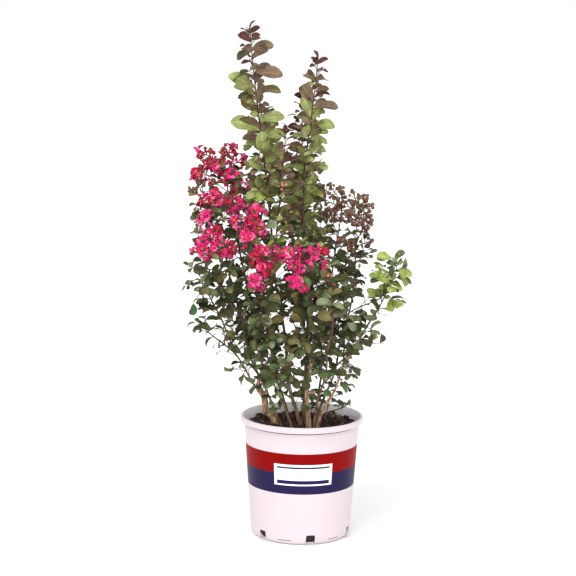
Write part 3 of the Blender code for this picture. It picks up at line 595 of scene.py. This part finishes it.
class Plant:
    """Everything that the sprays grow, sorted by kind and tone."""

    def __init__(self):
        self.leaves = {tone: [] for tone in TONES}
        self.twigs, self.stalks = Batch(), Batch()
        self.flowers, self.buds = [], []
        self.spaces = None
        self.grown = 0

    def leaf(self, index, root, direction, length, tone, rng, spire=False):
        """Adds a leaf with its face turned up and out of the crown, if it stays in the spray's space."""
        direction = unit(direction + rng.normal(0, 0.10, 3))
        outward = np.array([root[0], root[1], 0.0]) - CROWN_AXIS
        normal = 0.60 * UP + (0.20 if spire else 0.50) * unit(outward) + rng.normal(0, 0.15, 3)
        normal = square_to(normal, direction)
        roll = rng.choice((-1, 1)) * rng.uniform(0.45, 1.30) if spire else rng.normal(0, 0.60)
        normal = cos(roll) * normal + sin(roll) * np.cross(direction, normal)
        points = root + direction * length * np.array([[0.5], [0.95]])
        if points[:, 2].min() < POT_HEIGHT + 0.008 and abs(root[2] - SOIL_TOP) > 0.05:
            return
        if index is not None and not spire and not self.spaces.holds(index, points):
            return
        if not spire and in_sky(root + direction * length * 0.55):
            return
        if tone == "olive" and not spire and root[2] < 0.60:
            tone = "green"
        self.grown += 1
        width = rng.uniform(0.52, 0.64)
        bend = rng.uniform(0.6, 1.5) if spire else rng.uniform(0.4, 1.45)
        self.leaves[tone].append(Leaf(root, direction, normal, length, width, bend, rng.uniform(0.12, 0.45)))


def in_sky(point):
    """True if the point, seen from the photo's place, lies in one of the crown's gaps."""
    seen = EYE + (point - EYE) * (-EYE[1] / (point[1] - EYE[1]))
    return any(hypot(seen[0] - x, seen[2] - z) < radius for x, z, radius in SKY)


def bowed(start, end, sag, count=7):
    """A path between two points that bows upward by the sag."""
    t = np.linspace(0, 1, count)[:, None]
    return start + (end - start) * t + UP * sag * 4 * t * (1 - t)


def leaf_pairs(plant, index, path, gap, first, length, tones, rng, spire=False, whole=(0.0, 1.0)):
    """Pairs of leaves at even steps along a path, smaller towards its end, with one leaf at the tip."""
    count = max(1, int(path_length(path) * (1 - first) / gap))
    for i in range(count):
        share = first + (1 - first) * (i + 0.6) / count
        root, axis = point_along(path, share)
        height = whole[0] + share * (whole[1] - whole[0])
        turn = (i % 2) * (0.32 if spire else 0.5) * pi + rng.uniform(-0.5, 0.5)
        for side in (0, pi):
            out = across(axis, turn + side)
            taper = 1 - 2.4 * max(0.0, share - 0.78) if spire else 1 - 0.28 * share
            size = length * taper * rng.uniform(0.82, 1.12)
            if spire and height > 0.35 and out[1] < -0.45 and rng.uniform() < 0.65:
                continue
            lean = unit((0.85 if spire else 0.65) * axis + out + 0.10 * UP)
            shift = axis * rng.uniform(-0.003, 0.003)
            plant.leaf(index, root + shift, lean, size, deal(tones, rng, height, spire), rng, spire)
    root, axis = point_along(path, 1)
    plant.leaf(index, root, axis, length * 0.5, deal(tones, rng, whole[1], spire), rng, spire)


def grow_spire(plant, index, leader, rng):
    """A tall leafy shoot: big pairs of leaves up the stem, and a leafy sprig in most of their angles."""
    spray, (points, _) = SPRAYS[index], leader
    leaf_pairs(plant, index, points, 0.0190, 0.0, spray.leaf * 1.06, spray.tones, rng, True)
    count = int(path_length(points) / 0.011)
    for k in range(count):
        share = 0.01 + 0.97 * (k + 0.5) / count
        start, axis = point_along(points, share)
        out = across(axis, k * GOLDEN_ANGLE + index)
        length = 0.014 + 0.060 * max(0.0, 0.75 - share) * rng.uniform(0.5, 1.3) + 0.006 * rng.uniform()
        end = start + length * unit(out + 1.0 * axis)
        path = bowed(start, end, 0.002)
        tube(plant.twigs, path, SPRIG, 5)
        size = spray.leaf * (0.80 - 0.46 * share)
        leaf_pairs(plant, index, path, 0.012, 0.3, size, spray.tones, rng, True, (share, min(1.0, share + 0.05)))
    top, axis = point_along(points, 1)
    for k in range(6):
        lean = unit(axis * 1.2 + across(axis, k * GOLDEN_ANGLE))
        plant.leaf(index, top - axis * 0.004 * (k // 2), lean, 0.012, "burgundy", rng, True)


def grow_bush(plant, index, leader, rng):
    """A leafy spray: twigs all round its stem, each with smaller twigs, and pairs of leaves on them all."""
    spray, (points, _) = SPRAYS[index], leader
    highest = 0.62 if spray.kind == "buds" else 0.94
    stem = points[:max(3, int(len(points) * highest))]
    leaf_pairs(plant, index, stem, 0.026 / spray.leafy, 0.08, spray.leaf * 0.96, spray.tones, rng)
    count = int(path_length(points) * highest / 0.022 * spray.leafy) + 2
    for k in range(count):
        share = highest * (0.06 + 0.94 * (k + 0.5) / count)
        start, axis = point_along(points, share)
        out = across(axis, k * GOLDEN_ANGLE + index)
        length = spray.reach * rng.uniform(0.62, 0.98) * (1.08 - 0.35 * share)
        for shorter, ahead in ((1.0, 0.55), (0.6, 0.8)):
            length *= shorter
            end = start + length * unit(out + ahead * axis + 0.25 * UP)
            if plant.spaces.holds(index, np.linspace(start, end, 5)[2:]):
                break
        else:
            continue
        path = bowed(start, end, 0.05 * length)
        before = plant.grown
        leaf_pairs(plant, index, path, 0.0205, 0.22, spray.leaf * 1.02, spray.tones, rng)
        if plant.grown - before < 2:
            continue
        tube(plant.twigs, path, TWIG, 5)
        for m in range(2):
            fork, way = point_along(path, 0.30 + 0.32 * m + rng.uniform(-0.06, 0.06))
            side = across(way, k + m * pi + rng.uniform(-0.5, 0.5))
            tip = fork + length * rng.uniform(0.35, 0.60) * unit(side + 0.8 * way + 0.2 * UP)
            if rng.uniform() < 0.72 * spray.leafy and plant.spaces.holds(index, np.array([tip])) and not in_sky(tip):
                small = bowed(fork, tip, 0.001)
                tube(plant.twigs, small, FORK, 4)
                leaf_pairs(plant, index, small, 0.020, 0.3, spray.leaf * 0.86, spray.tones, rng)


def grow_head(plant, index, head, leader, rng):
    """A flower head: a stalk from the spray's stem that fans into pedicels, with open flowers or round buds."""
    spray, (points, _) = SPRAYS[index], leader
    centre, radius = np.array(head[:3]), head[3]
    below = [point_along(points, share)[0] for share in np.linspace(0.35, 1.0, 14)]
    lower = [p for p in below if p[2] < centre[2] - 0.012] or below[:1]
    start = min(lower, key=lambda p: norm(p - centre))
    way = unit(centre - start)
    top = centre + 0.25 * radius * way
    stalk = bowed(start, top, 0.003, 9)
    tube(plant.stalks, stalk, STALK, 5)
    total = norm(top - start)
    mark = 1 if spray.name == "bloom_top_left" else 0
    blooms = spray.kind != "buds"
    flowers = max(3, round(radius / FLOWER_SHARE[mark])) if blooms and radius > SMALL_HEAD else 0
    buds = max(5, round(radius / BUD_SHARE[mark])) if blooms else max(9, round(radius / ALL_BUDS_SHARE))
    for i in range(flowers + buds):
        height = 1 - 1.75 * (i * HEAD_STEP % 1.0)
        share = np.clip(1 - radius * (0.9 - 0.8 * height) / total, 0.02, 1)
        base, _ = point_along(stalk, share)
        ring = sqrt(max(0.05, 1 - 0.8 * height**2))
        axis = unit(way * (height + 0.35) + across(way, i * GOLDEN_ANGLE) * ring)
        reach = (max(0.006, radius - 0.007) if i < flowers else radius * 1.1) * rng.uniform(0.75, 1.1)
        spot = base + axis * reach
        tube(plant.stalks, bowed(base, spot, 0.0015, 5), PEDICEL, 4)
        if i < flowers:
            size = FLOWER_SIZE * rng.uniform(0.82, 1.08)
            face = unit(axis + rng.normal(0, 0.25, 3))
            plant.flowers.append((spot, face, size, mark if rng.uniform() < 0.8 else 1 - mark))
            plant.buds.append((spot, axis, 0.0028, False))
        else:
            faded = blooms and rng.uniform() < (0.8 if radius < SMALL_HEAD else 0.08)
            plant.buds.append((spot, axis, BUD_SIZE * rng.uniform(0.75, 1.15) * (0.8 if faded else 1.0), faded))


def grow_outstanding(plant, leaders, rng):
    """The single leaves and sprigs that the photo shows against the sky."""
    for name, blades in BLADES.items():
        for share, *tip, tone in blades:
            root, _ = point_along(leaders[name][0], share)
            way = np.array(metres(tip)) - root
            direction = unit(way)
            normal = square_to(np.array([0.0, rng.uniform(-1.0, -0.5), 0.6]), direction)
            width, bend = rng.uniform(0.46, 0.56), rng.uniform(0.5, 1.0)
            plant.leaves[tone].append(Leaf(root, direction, normal, 1.10 * norm(way), width, bend, 0.25))
    for name, share, *tip, size, buds in SPRIGS:
        start, _ = point_along(leaders[name][0], share)
        path = bowed(start, np.array(metres(tip)), 0.003)
        tube(plant.twigs, path, TWIG, 5)
        tones = next(spray.tones for spray in SPRAYS if spray.name == name)
        leaf_pairs(plant, None, path, 0.018, 0.40, size / 1000, tones, rng)
        for k in range(buds):
            base, axis = point_along(path, 0.7 + 0.3 * k / buds)
            way = unit(axis * 0.8 + across(axis, k * GOLDEN_ANGLE))
            spot = base + way * rng.uniform(0.007, 0.013)
            tube(plant.stalks, bowed(base, spot, 0.001, 5), SPRIG, 4)
            plant.buds.append((spot, way, BUD_SIZE * rng.uniform(0.75, 1.1), False))


def grow_limb_shoots(plant, limbs, rng):
    """Short leafy shoots up the limbs, from a little above the pot's rim."""
    for limb in LIMBS:
        path = limbs[limb.name].points
        steps = path_length(path) / 0.020
        for k in range(int(steps)):
            share = (k + rng.uniform(0.2, 0.8)) / steps
            start, axis = point_along(path, min(share, 0.98))
            if start[2] < 0.262 or rng.uniform() < (0.50 if start[2] < 0.33 else 0.20):
                continue
            out = across(axis, k * GOLDEN_ANGLE + path[0, 0] * 90)
            length = rng.uniform(0.035, 0.075) if start[2] > 0.36 else rng.uniform(0.022, 0.045)
            end = start + length * unit(out + 0.7 * axis + (0.6 if start[2] < 0.3 else 0.0) * UP)
            shoot = bowed(start, end, 0.003)
            tube(plant.twigs, shoot, SPRIG, 5)
            leaf_pairs(plant, None, shoot, 0.020, 0.25, 0.038, LOW if start[2] < 0.42 else SHADE, rng)


def wire(tree, kind, inputs):
    """A new node of that kind: each of its inputs is a number, a colour or the output of another node."""
    return feed(tree, tree.nodes.new("ShaderNode" + kind), inputs)


def feed(tree, node, inputs):
    """Sets a node's inputs in the same way."""
    for name, value in inputs.items():
        if isinstance(value, bpy.types.NodeSocket):
            tree.links.new(value, node.inputs[name])
        else:
            node.inputs[name].default_value = value
    return node


def noise(tree, scale, detail, stretch=None):
    """Noise in the piece's own space, stretched if need be."""
    place = wire(tree, "TexCoord", {}).outputs["Object"]
    if stretch:
        place = wire(tree, "Mapping", {"Vector": place, "Scale": stretch}).outputs["Vector"]
    return wire(tree, "TexNoise", {"Vector": place, "Scale": scale, "Detail": detail}).outputs["Fac"]


def ramp(tree, factor, dark, light, low=0.0, high=1.0):
    """A colour that goes from dark to light as the factor goes from low to high."""
    node = wire(tree, "ValToRGB", {"Fac": factor})
    for stop, position, colour in zip(node.color_ramp.elements, (low, high), (dark, light)):
        stop.position, stop.color = position, (*colour, 1)
    return node.outputs["Color"]


def blend(tree, factor, first, second):
    """A colour that goes from the first to the second as the factor goes from nought to one."""
    node = tree.nodes.new("ShaderNodeMix")
    node.data_type = "RGBA"
    return feed(tree, node, {0: factor, 6: first, 7: second}).outputs[2]


def sums(tree, kind, first, second=0.0):
    """The result of a sum of that kind over one or two values, each a number or the output of another node."""
    node = tree.nodes.new("ShaderNodeMath")
    node.operation = kind
    return feed(tree, node, {0: first, 1: second}).outputs[0]


def material(name, colour, roughness, spread=0.15, scale=60, bump=0.0, bump_scale=200, specular=0.5, second=None):
    """A material that wanders between two tones over the surface, with a fine bump."""
    made = bpy.data.materials.new(name)
    made.use_nodes = True
    tree = made.node_tree
    dark = [c * (1 - spread) for c in colour]
    light = [min(1, c * (1 + spread)) for c in second or colour]
    inputs = {"Base Color": ramp(tree, noise(tree, scale, 4), dark, light, 0.30, 0.72),
              "Roughness": roughness, "Specular IOR Level": specular}
    if bump:
        grain = noise(tree, bump_scale, 6)
        inputs["Normal"] = wire(tree, "Bump", {"Strength": bump, "Distance": 0.001, "Height": grain}).outputs["Normal"]
    feed(tree, tree.nodes["Principled BSDF"], inputs)
    return made


def leaf_material(tone):
    """A satin leaf with a pale midrib and faint side veins that run out and up from it."""
    dark, light = TONES[tone]
    made = material("leaf_" + tone, dark, 0.46, 0.0, 48, 0.25, 900, 0.19, light)
    tree = made.node_tree
    shader = tree.nodes["Principled BSDF"]
    plain = shader.inputs["Base Color"].links[0].from_socket
    place = tree.nodes.new("ShaderNodeUVMap")
    place.uv_map = "blade"
    parts = wire(tree, "SeparateXYZ", {"Vector": place.outputs["UV"]}).outputs
    off = sums(tree, "ABSOLUTE", sums(tree, "SUBTRACT", parts["X"], 0.5))
    run = sums(tree, "SUBTRACT", sums(tree, "MULTIPLY", parts["Y"], 44.0), sums(tree, "MULTIPLY", off, 26.0))
    rib = sums(tree, "MULTIPLY", sums(tree, "LESS_THAN", off, 0.035), 0.40)
    vein = sums(tree, "MULTIPLY", sums(tree, "GREATER_THAN", sums(tree, "SINE", run), 0.86), 0.22)
    pale = (*(min(1, c * 1.7 + 0.03) for c in light), 1)
    feed(tree, shader, {"Base Color": blend(tree, sums(tree, "ADD", rib, vein), plain, pale)})
    return made


def bark_material(name, dark, light, low, high):
    """Smooth bark that peels in long pale and dark strips, and turns dark red-brown between two heights: partly the
    younger bark's own colour, partly painted shade under the crown.
    """
    made = material(name, light, 0.72, 0.1, 60, 0.7, 260)
    tree = made.node_tree
    strips = noise(tree, 240, 5, (1.0, 1.0, 0.16))
    place = wire(tree, "SeparateXYZ", {"Vector": wire(tree, "TexCoord", {}).outputs["Object"]})
    height = wire(tree, "MapRange", {"Value": place.outputs["Z"], "From Min": low, "From Max": high})
    bark = ramp(tree, strips, dark, light, 0.36, 0.66)
    # Dark red-brown for the upper limbs: partly younger bark, partly painted shade where the crown shades them
    young_and_shaded = ramp(tree, strips, (0.040, 0.020, 0.014), (0.180, 0.095, 0.060))
    mixed = blend(tree, height.outputs["Result"], bark, young_and_shaded)
    feed(tree, tree.nodes["Principled BSDF"], {"Base Color": mixed})
    return made


def outer_radius(z):
    """The pot's outer wall is a straight taper from the shoulder under the rim to the base."""
    share = (z - BASE_FILLET) / (SHOULDER - BASE_FILLET)
    return BASE_RADIUS + share * (SHOULDER_RADIUS - BASE_RADIUS)


def pot_profile():
    """The pot's section from the rim's top down the outside, along the underside and up the inside.

    Each point has a radius, a height and the mark of the colour that starts there."""
    rolled = [(RIM_RADIUS - 0.004 + 0.004 * cos(a), POT_HEIGHT - 0.004 + 0.004 * sin(a), 0)
              for a in np.radians(np.linspace(90, 0, 9))]
    lip = [(RIM_RADIUS - inward, SHOULDER + rise, 0)
           for inward, rise in ((0, 0.0010), (0.0003, -0.0004), (0.0010, -0.0010), (0.0016, -0.0006), (0.0026, 0.0026))]
    neck = outer_radius(SHOULDER)
    # The wall just under the lip takes mark 4, a dark colour: a painted shade line that stands in for the shadow under
    # the lip
    painted_shade_band = [(neck + 0.0006, SHOULDER + 0.0030, 4), (neck + 0.0002, SHOULDER - 0.0010, 4)]
    outside = ((SHOULDER - 0.0050, 0, 0), (0.2485, 0, 0), (0.2475, 0.0006, 0), (0.2460, 0.0006, 0), (0.245, 0, 0),
               (0.225, 0, 0), (RED_TOP + 0.0001, 0, 0), (RED_TOP, 0, 1), (0.19, 0, 1), (0.17, 0, 1),
               (BAND_MIDDLE + 0.0001, 0, 1), (BAND_MIDDLE, 0, 2), (0.14, 0, 2), (NAVY_BOTTOM + 0.0001, 0, 2),
               (NAVY_BOTTOM, 0, 0), (0.09, 0, 0), (0.06, 0, 0), (0.03, 0, 0))
    wall = [(outer_radius(z) + proud, z, mark) for z, proud, mark in outside]
    fillet = [(BASE_RADIUS - BASE_FILLET * (1 - cos(a)), BASE_FILLET * (1 - sin(a)), 0)
              for a in np.radians(np.linspace(0, 90, 9))]
    floor = [(0.0, 0.0, 0), (0.0, FLOOR_RISE, 0), (BASE_RADIUS - BASE_FILLET, FLOOR_RISE, 0)]
    # The inside wall and ledge take mark 3: the same plastic as outside, painted lighter to stand in for light on the
    # inner wall
    inner = [(outer_radius(z) - WALL, z, 3) for z in (BASE_FILLET + 0.002, 0.1, 0.2, 0.2405, 0.2485)]
    ledge = [(outer_radius(0.249) - WALL + 0.0012, 0.2492, 3), (neck - WALL + 0.0008, SHOULDER, 3),
             (RIM_RADIUS - 0.0072, POT_HEIGHT - 0.003, 3), (RIM_RADIUS - 0.0062, POT_HEIGHT - 0.0008, 0)]
    return rolled + lip + painted_shade_band + wall + fillet + floor + inner + ledge


def make_pot():
    """The white pot with a rolled rim, printed bands, a painted shade line under the lip, an inside painted lighter
    than the outside, and drain notches cut through its bottom corner.
    """
    profile = pot_profile()
    profile.append(profile[0])
    bm = bmesh.new()
    turns = np.linspace(0, tau, POT_SIDES, endpoint=False)
    rings = []
    for radius, z, _ in profile[:-1]:
        if radius == 0:
            rings.append([bm.verts.new((0, 0, z))])
        else:
            rings.append([bm.verts.new((radius * sin(t), -radius * cos(t), z)) for t in turns])
    rings.append(rings[0])
    for (ring, following), (_, _, mark) in zip(zip(rings, rings[1:]), profile):
        for i in range(POT_SIDES):
            j = (i + 1) % POT_SIDES
            corners = [ring[i % len(ring)], ring[j % len(ring)]]
            corners += [following[j % len(following)], following[i % len(following)]]
            unique = list(dict.fromkeys(corners))
            if len(unique) > 2:
                bm.faces.new(unique[::-1]).material_index = mark
    bmesh.ops.recalc_face_normals(bm, faces=bm.faces)
    mesh = mesh_from(bm, "pot_shell")
    plastic = material("pot_white", (0.625, 0.540, 0.572), 0.38, 0.012, 14, 0.04, 500, 0.35)
    red = material("band_red", (0.228, 0.0012, 0.0015), 0.42, 0.03, 12, 0.03, 500, 0.05)
    navy = material("band_navy", (0.016, 0.010, 0.057), 0.42, 0.03, 12, 0.03, 500, 0.10)
    # A lighter copy of the pot's white plastic for the inside: painted light on the inner wall
    inside = material("pot_inside_painted_light", (0.97, 0.93, 0.96), 0.45, 0.02, 14, 0.04, 500, 0.3)
    # Dark grey-mauve for the band under the lip: painted shade, not a colour of the plastic
    painted_shade_band = material("pot_painted_shade_line", (0.170, 0.140, 0.160), 0.6, 0.2, 40, 0.04, 500, 0.2)
    pot = add_piece("pot_shell", mesh, [plastic, red, navy, inside, painted_shade_band])
    cut_drains(pot)
    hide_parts("pot")


def cut_drains(pot):
    """Cuts notches through the bottom corner, and a shallow slot between each two."""
    cutters = bpy.data.collections.new("pot_cutters")
    scene.collection.children.link(cutters)
    for i in range(DRAIN_COUNT):
        bearing = DRAIN_BEARING + i * tau / DRAIN_COUNT
        notch(cutters, bearing, 0.024, 0.0235, 0.030, 0.0025)
        notch(cutters, bearing + tau / DRAIN_COUNT / 2, 0.030, 0.0115, 0.016, 0.0004, 0.0098)
    cut = pot.modifiers.new("Drains", "BOOLEAN")
    cut.operation = "DIFFERENCE"
    cut.operand_type = "COLLECTION"
    cut.collection = cutters
    cut.solver = "EXACT"
    bpy.context.view_layer.update()
    graph = bpy.context.evaluated_depsgraph_get()
    mesh = bpy.data.meshes.new_from_object(pot.evaluated_get(graph))
    pot.modifiers.clear()
    pot.data = mesh
    for obj in list(cutters.objects):
        bpy.data.objects.remove(obj)
    bpy.data.collections.remove(cutters)
    mesh.polygons.foreach_set("use_smooth", np.ones(len(mesh.polygons), bool))
    mesh.set_sharp_from_angle(angle=radians(32))


def notch(collection, bearing, width, height, depth, corner, low=-0.01):
    """A cutter with rounded upper corners, standing across the pot's bottom corner at that bearing."""
    bm = bmesh.new()
    bmesh.ops.create_cube(bm, size=1)
    for vert in bm.verts:
        narrow = 0.80 if vert.co.z > 0 and low < 0 else 1.0
        vert.co.x *= width * narrow
        vert.co.y *= depth
        vert.co.z = height if vert.co.z > 0 else low
    upper = [e for e in bm.edges if all(v.co.z > 0 for v in e.verts)]
    top = [e for e in upper if abs(e.verts[0].co.y - e.verts[1].co.y) > depth / 2]
    bmesh.ops.bevel(bm, geom=top, offset=corner, segments=4, affect="EDGES", profile=0.5)
    cutter = bpy.data.objects.new("notch", mesh_from(bm, "notch"))
    collection.objects.link(cutter)
    cutter.rotation_euler.z = bearing
    cutter.location = Vector((sin(bearing), -cos(bearing), 0)) * BASE_RADIUS


def make_label():
    """A bare white panel printed over the bands, with a thin rule above and a plain bar below."""
    batch = Batch()
    wide, high = LABEL_HALF_ANGLE, LABEL_HIGH - LABEL_LOW
    # Half width and bottom and top as shares of the panel's, how far it stands out, and its colour
    patches = ((1.0, 0.0, 1.0, 0.0003, 0), (0.90, 0.812, 0.890, 0.0006, 1), (0.90, 0.075, 0.245, 0.0006, 1))
    for half, low, top, proud, mark in patches:
        angles = LABEL_CENTRE + np.linspace(-wide * half, wide * half, 41)
        z = LABEL_LOW + high * np.linspace(low, top, 5)
        a, h = np.meshgrid(angles, z)
        radius = outer_radius(h) + proud
        verts = np.stack([radius * np.sin(a), -radius * np.cos(a), h], axis=-1)
        batch.add(verts, grid_faces(*a.shape), mark)
    white = material("label_white", (0.92, 0.91, 0.93), 0.40, 0.01, 12, 0.02, 500, 0.3)
    navy = material("label_navy", (0.012, 0.008, 0.075), 0.42, 0.03, 12, 0.02, 500, 0.12)
    batch.piece("label_panel", [white, navy], "pot_white")


def make_soil(feet, rng):
    """Bark chips over the soil, heaped a little towards the wall."""
    slots = frame["nodes"]["soil"].data.materials
    slots.clear()
    slots.append(material("soil", (0.028, 0.016, 0.011), 0.95, 0.5, 90, 0.6, 120))
    batch = Batch()
    corners = np.array([(x, y, z) for x in (-1, 1) for y in (-1, 1) for z in (-1, 1)], float) / 2
    faces = np.array([(0, 1, 3, 2), (4, 6, 7, 5), (0, 4, 5, 1), (2, 3, 7, 6), (0, 2, 6, 4), (1, 5, 7, 3)])
    edge = outer_radius(SOIL_TOP) - WALL - 0.006
    for _ in range(CHIP_COUNT):
        turn, radius = rng.uniform(0, tau), edge * sqrt(rng.uniform(0, 1))
        spot = np.array([radius * cos(turn), radius * sin(turn), SOIL_TOP])
        heap = 0.011 * max(0.0, radius / edge - 0.55) / 0.45
        size = np.array([rng.uniform(0.006, 0.019), rng.uniform(0.004, 0.010), rng.uniform(0.002, 0.005)])
        if min(norm(spot[:2] - foot) for foot in feet) < 0.013:
            size *= 0.5
            heap = 0
        spot[2] += rng.uniform(-0.003, 0.003) + heap * rng.uniform(0, 1)
        axis = unit(rng.normal(0, 1, 3) * (1, 1, 0.55))
        grain = np.roll(turned(axis, rng.uniform(0, 6)), 1, axis=0)
        shape = (corners * size + rng.normal(0, 0.0007, (8, 3))) @ grain
        if norm((shape + spot)[:, :2], axis=1).max() > edge + 0.0045:
            continue
        batch.add(shape + spot, faces, int(rng.choice(3, p=(0.55, 0.3, 0.15))))
    tones = {"dark": (0.026, 0.014, 0.010), "brown": (0.075, 0.038, 0.024), "tan": (0.140, 0.078, 0.048)}
    chips = [material("chip_" + tone, colour, 0.9, 0.4, 150, 0.5, 400) for tone, colour in tones.items()]
    piece = batch.piece("bark_chips", chips, "soil")
    piece.data.polygons.foreach_set("use_smooth", np.zeros(len(piece.data.polygons), bool))


def make_limbs(limbs, rng):
    """Trunk, stems and boughs with the long ridges and hollows of the wood, and a knot here and there."""
    batch = Batch()
    for limb in LIMBS:
        grown = limbs[limb.name]
        thick = grown.radii[0] > 0.005
        angles = np.linspace(0, tau, LIMB_SIDES, endpoint=False)
        along = np.linspace(0, 1, LIMB_POINTS)[:, None]
        phase = rng.uniform(0, 6, 5)
        ripple = 1 + 0.07 * np.sin(2 * angles + phase[0] + 5 * along) + 0.05 * np.sin(3 * angles + phase[1] - 7 * along)
        ripple += 0.035 * np.sin(5 * angles + phase[2] + 23 * along)
        ripple += 0.03 * rng.normal(0, 1, (LIMB_POINTS, LIMB_SIDES))
        for _ in range(5 if thick else 8):
            spot, turn = rng.uniform(0.1, 0.95), rng.uniform(0, tau)
            near = np.exp(-((along - spot) * 34) ** 2 - (np.angle(np.exp(1j * (angles - turn))) / 0.7) ** 2)
            ripple += (0.30 if thick else 0.45) * near
        radii = grown.radii * LIMB_LOOK.get(limb.name, OTHER_LIMBS)
        tube(batch, grown.points, radii, LIMB_SIDES, 0 if limb.name in LIMB_LOOK else 1, ripple)
    for name, share, turn, length, radius in STUBS:
        grown, length, radius = limbs[name], length / 1000, radius / 1e4
        root, axis = point_along(grown.points, share)
        out = across(axis, turn)
        width = np.interp(share, np.linspace(0, 1, LIMB_POINTS), grown.radii)
        start = root + out * width * 0.5
        end = root + out * (width + length) + axis * length * 0.9
        path = bowed(start, end, 0.0, 9)
        knobbed = radius * (1 + 0.25 * np.sin(np.linspace(0, 7, 9) + turn))
        tube(batch, path, knobbed, 10, 0)
        wide = np.array([path[-1] - axis * 0.0004, path[-1] + (path[-1] - path[-2]) * 0.2])
        tube(batch, wide, (radius * 1.02, radius * 0.9), 10, 2)
    tan = bark_material("bark_tan", (0.200, 0.105, 0.055), (0.640, 0.430, 0.255), 0.38, 0.52)
    brown = bark_material("bark_brown", (0.085, 0.042, 0.026), (0.330, 0.205, 0.125), 0.28, 0.40)
    cut = material("cut_wood", (0.560, 0.400, 0.240), 0.8, 0.25, 300, 0.4, 500)
    piece = batch.piece("wood", [tan, brown, cut], "bark")
    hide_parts(*[limb.name for limb in LIMBS])


def make_plant():
    """Limbs, then every spray's twigs, leaves, flowers and buds, joined each kind apart."""
    rng = np.random.default_rng(SEED)
    limbs = grow_limbs()
    make_limbs(limbs, rng)
    leaders = {spray.name: leader_of(spray, limbs) for spray in SPRAYS}
    plant = Plant()
    plant.spaces = Spaces(leaders)
    for index, spray in enumerate(SPRAYS):
        own = np.random.default_rng(SEED + index)
        leader = leaders[spray.name]
        tube(plant.twigs, leader[0], leader[1], 7)
        if spray.kind == "spire":
            grow_spire(plant, index, leader, own)
        else:
            grow_bush(plant, index, leader, own)
        for head in spray.heads:
            grow_head(plant, index, head, leader, own)
    grow_limb_shoots(plant, limbs, rng)
    grow_outstanding(plant, leaders, rng)
    for tone, leaves in plant.leaves.items():
        batch = Batch()
        add_leaves(batch, leaves)
        batch.piece("leaves_" + tone, [leaf_material(tone)])
    brown = material("twig_brown", (0.085, 0.040, 0.026), 0.7, 0.3, 120, 0.4, 500)
    twigs = plant.twigs.piece("twigs", [brown])
    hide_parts(*[spray.name for spray in SPRAYS])
    red = material("stalk_red", (0.110, 0.052, 0.030), 0.6, 0.25, 120)
    plant.stalks.piece("flower_stalks", [red])
    petals, hearts, buds = Batch(), Batch(), Batch()
    add_petals(petals, plant.flowers, rng)
    tones = {"pink": ((0.500, 0.006, 0.075), (0.920, 0.042, 0.270)),
             "crimson": ((0.280, 0.004, 0.026), (0.740, 0.022, 0.092)),
             "pale": ((0.760, 0.030, 0.190), (0.960, 0.240, 0.480))}
    petals.piece("petals", [material("petal_" + tone, dark, 0.60, 0.0, 240, 0.5, 700, 0.2, light)
                            for tone, (dark, light) in tones.items()])
    verts, quads, caps = ball(8, 5)
    for spot, axis, size, _ in plant.flowers[::2]:
        centre = spot + axis * size * 0.26
        shape = (verts * (0.22, 0.22, 0.20) * size) @ turned(axis, 0)
        lumps = shape * (1 + rng.normal(0, 0.12, (len(shape), 1))) + centre
        hearts.add(lumps, quads)
        hearts.add(lumps, caps)
    hearts.piece("flower_hearts", [material("heart_orange", (0.620, 0.120, 0.014), 0.6, 0.35, 300)])
    add_buds(buds, plant.buds, rng)
    looks = [("green", (0.120, 0.080, 0.030), 0.50, 260, 0.3, (0.230, 0.165, 0.070)),
             ("red", (0.032, 0.009, 0.008), 0.40, 260, 0.5, (0.135, 0.038, 0.028)),
             ("peach", (0.430, 0.190, 0.120), 0.55, 120, 0.3, None),
             ("tan", (0.060, 0.028, 0.018), 0.50, 260, 0.4, (0.220, 0.115, 0.066))]
    buds.piece("buds", [material("bud_" + tone, dark, rough, 0.3, scale, specular=specular, second=light)
                        for tone, dark, rough, scale, specular, light in looks])


def make_stage():
    """A plain pale floor, a plain white world and soft lights."""
    bm = bmesh.new()
    bmesh.ops.create_grid(bm, x_segments=1, y_segments=1, size=30)
    floor = stand("floor", mesh_from(bm, "floor"))
    floor.data.materials.append(material("floor_white", (0.97, 0.97, 0.97), 0.9, 0.0, 5))
    world = bpy.data.worlds.new("studio")
    scene.world = world
    world.use_nodes = True
    feed(world.node_tree, world.node_tree.nodes["Background"], {"Color": (1, 1, 1, 1), "Strength": 1.0})
    for name, (strength, width, direction) in LAMPS.items():
        light = bpy.data.lights.new(name, "SUN")
        light.energy, light.angle = strength, radians(width)
        stand(name, light).rotation_euler = Vector(direction).to_track_quat("-Z", "Y").to_euler()


def make_camera():
    """The camera, turned by its yaw, then its pitch, then its roll."""
    level = cos(CAMERA_PITCH)
    ahead = Vector((sin(CAMERA_YAW) * level, cos(CAMERA_YAW) * level, -sin(CAMERA_PITCH)))
    right = Vector((cos(CAMERA_YAW), -sin(CAMERA_YAW), 0))
    up = right.cross(ahead)
    cosine, sine = cos(CAMERA_ROLL), sin(CAMERA_ROLL)
    right, up = right * cosine + up * sine, up * cosine - right * sine
    data = bpy.data.cameras.new("camera")
    data.sensor_width, data.lens = CAMERA_SENSOR, CAMERA_LENS
    camera = stand("camera", data)
    camera.matrix_world = Matrix.Translation(EYE) @ Matrix((right, up, -ahead)).transposed().to_4x4()
    scene.camera = camera


scene.view_settings.view_transform = "Standard"
make_camera()
make_stage()
make_pot()
make_label()
make_soil([np.array(limb.foot) for limb in LIMBS if limb.foot], np.random.default_rng(SEED))
make_plant()
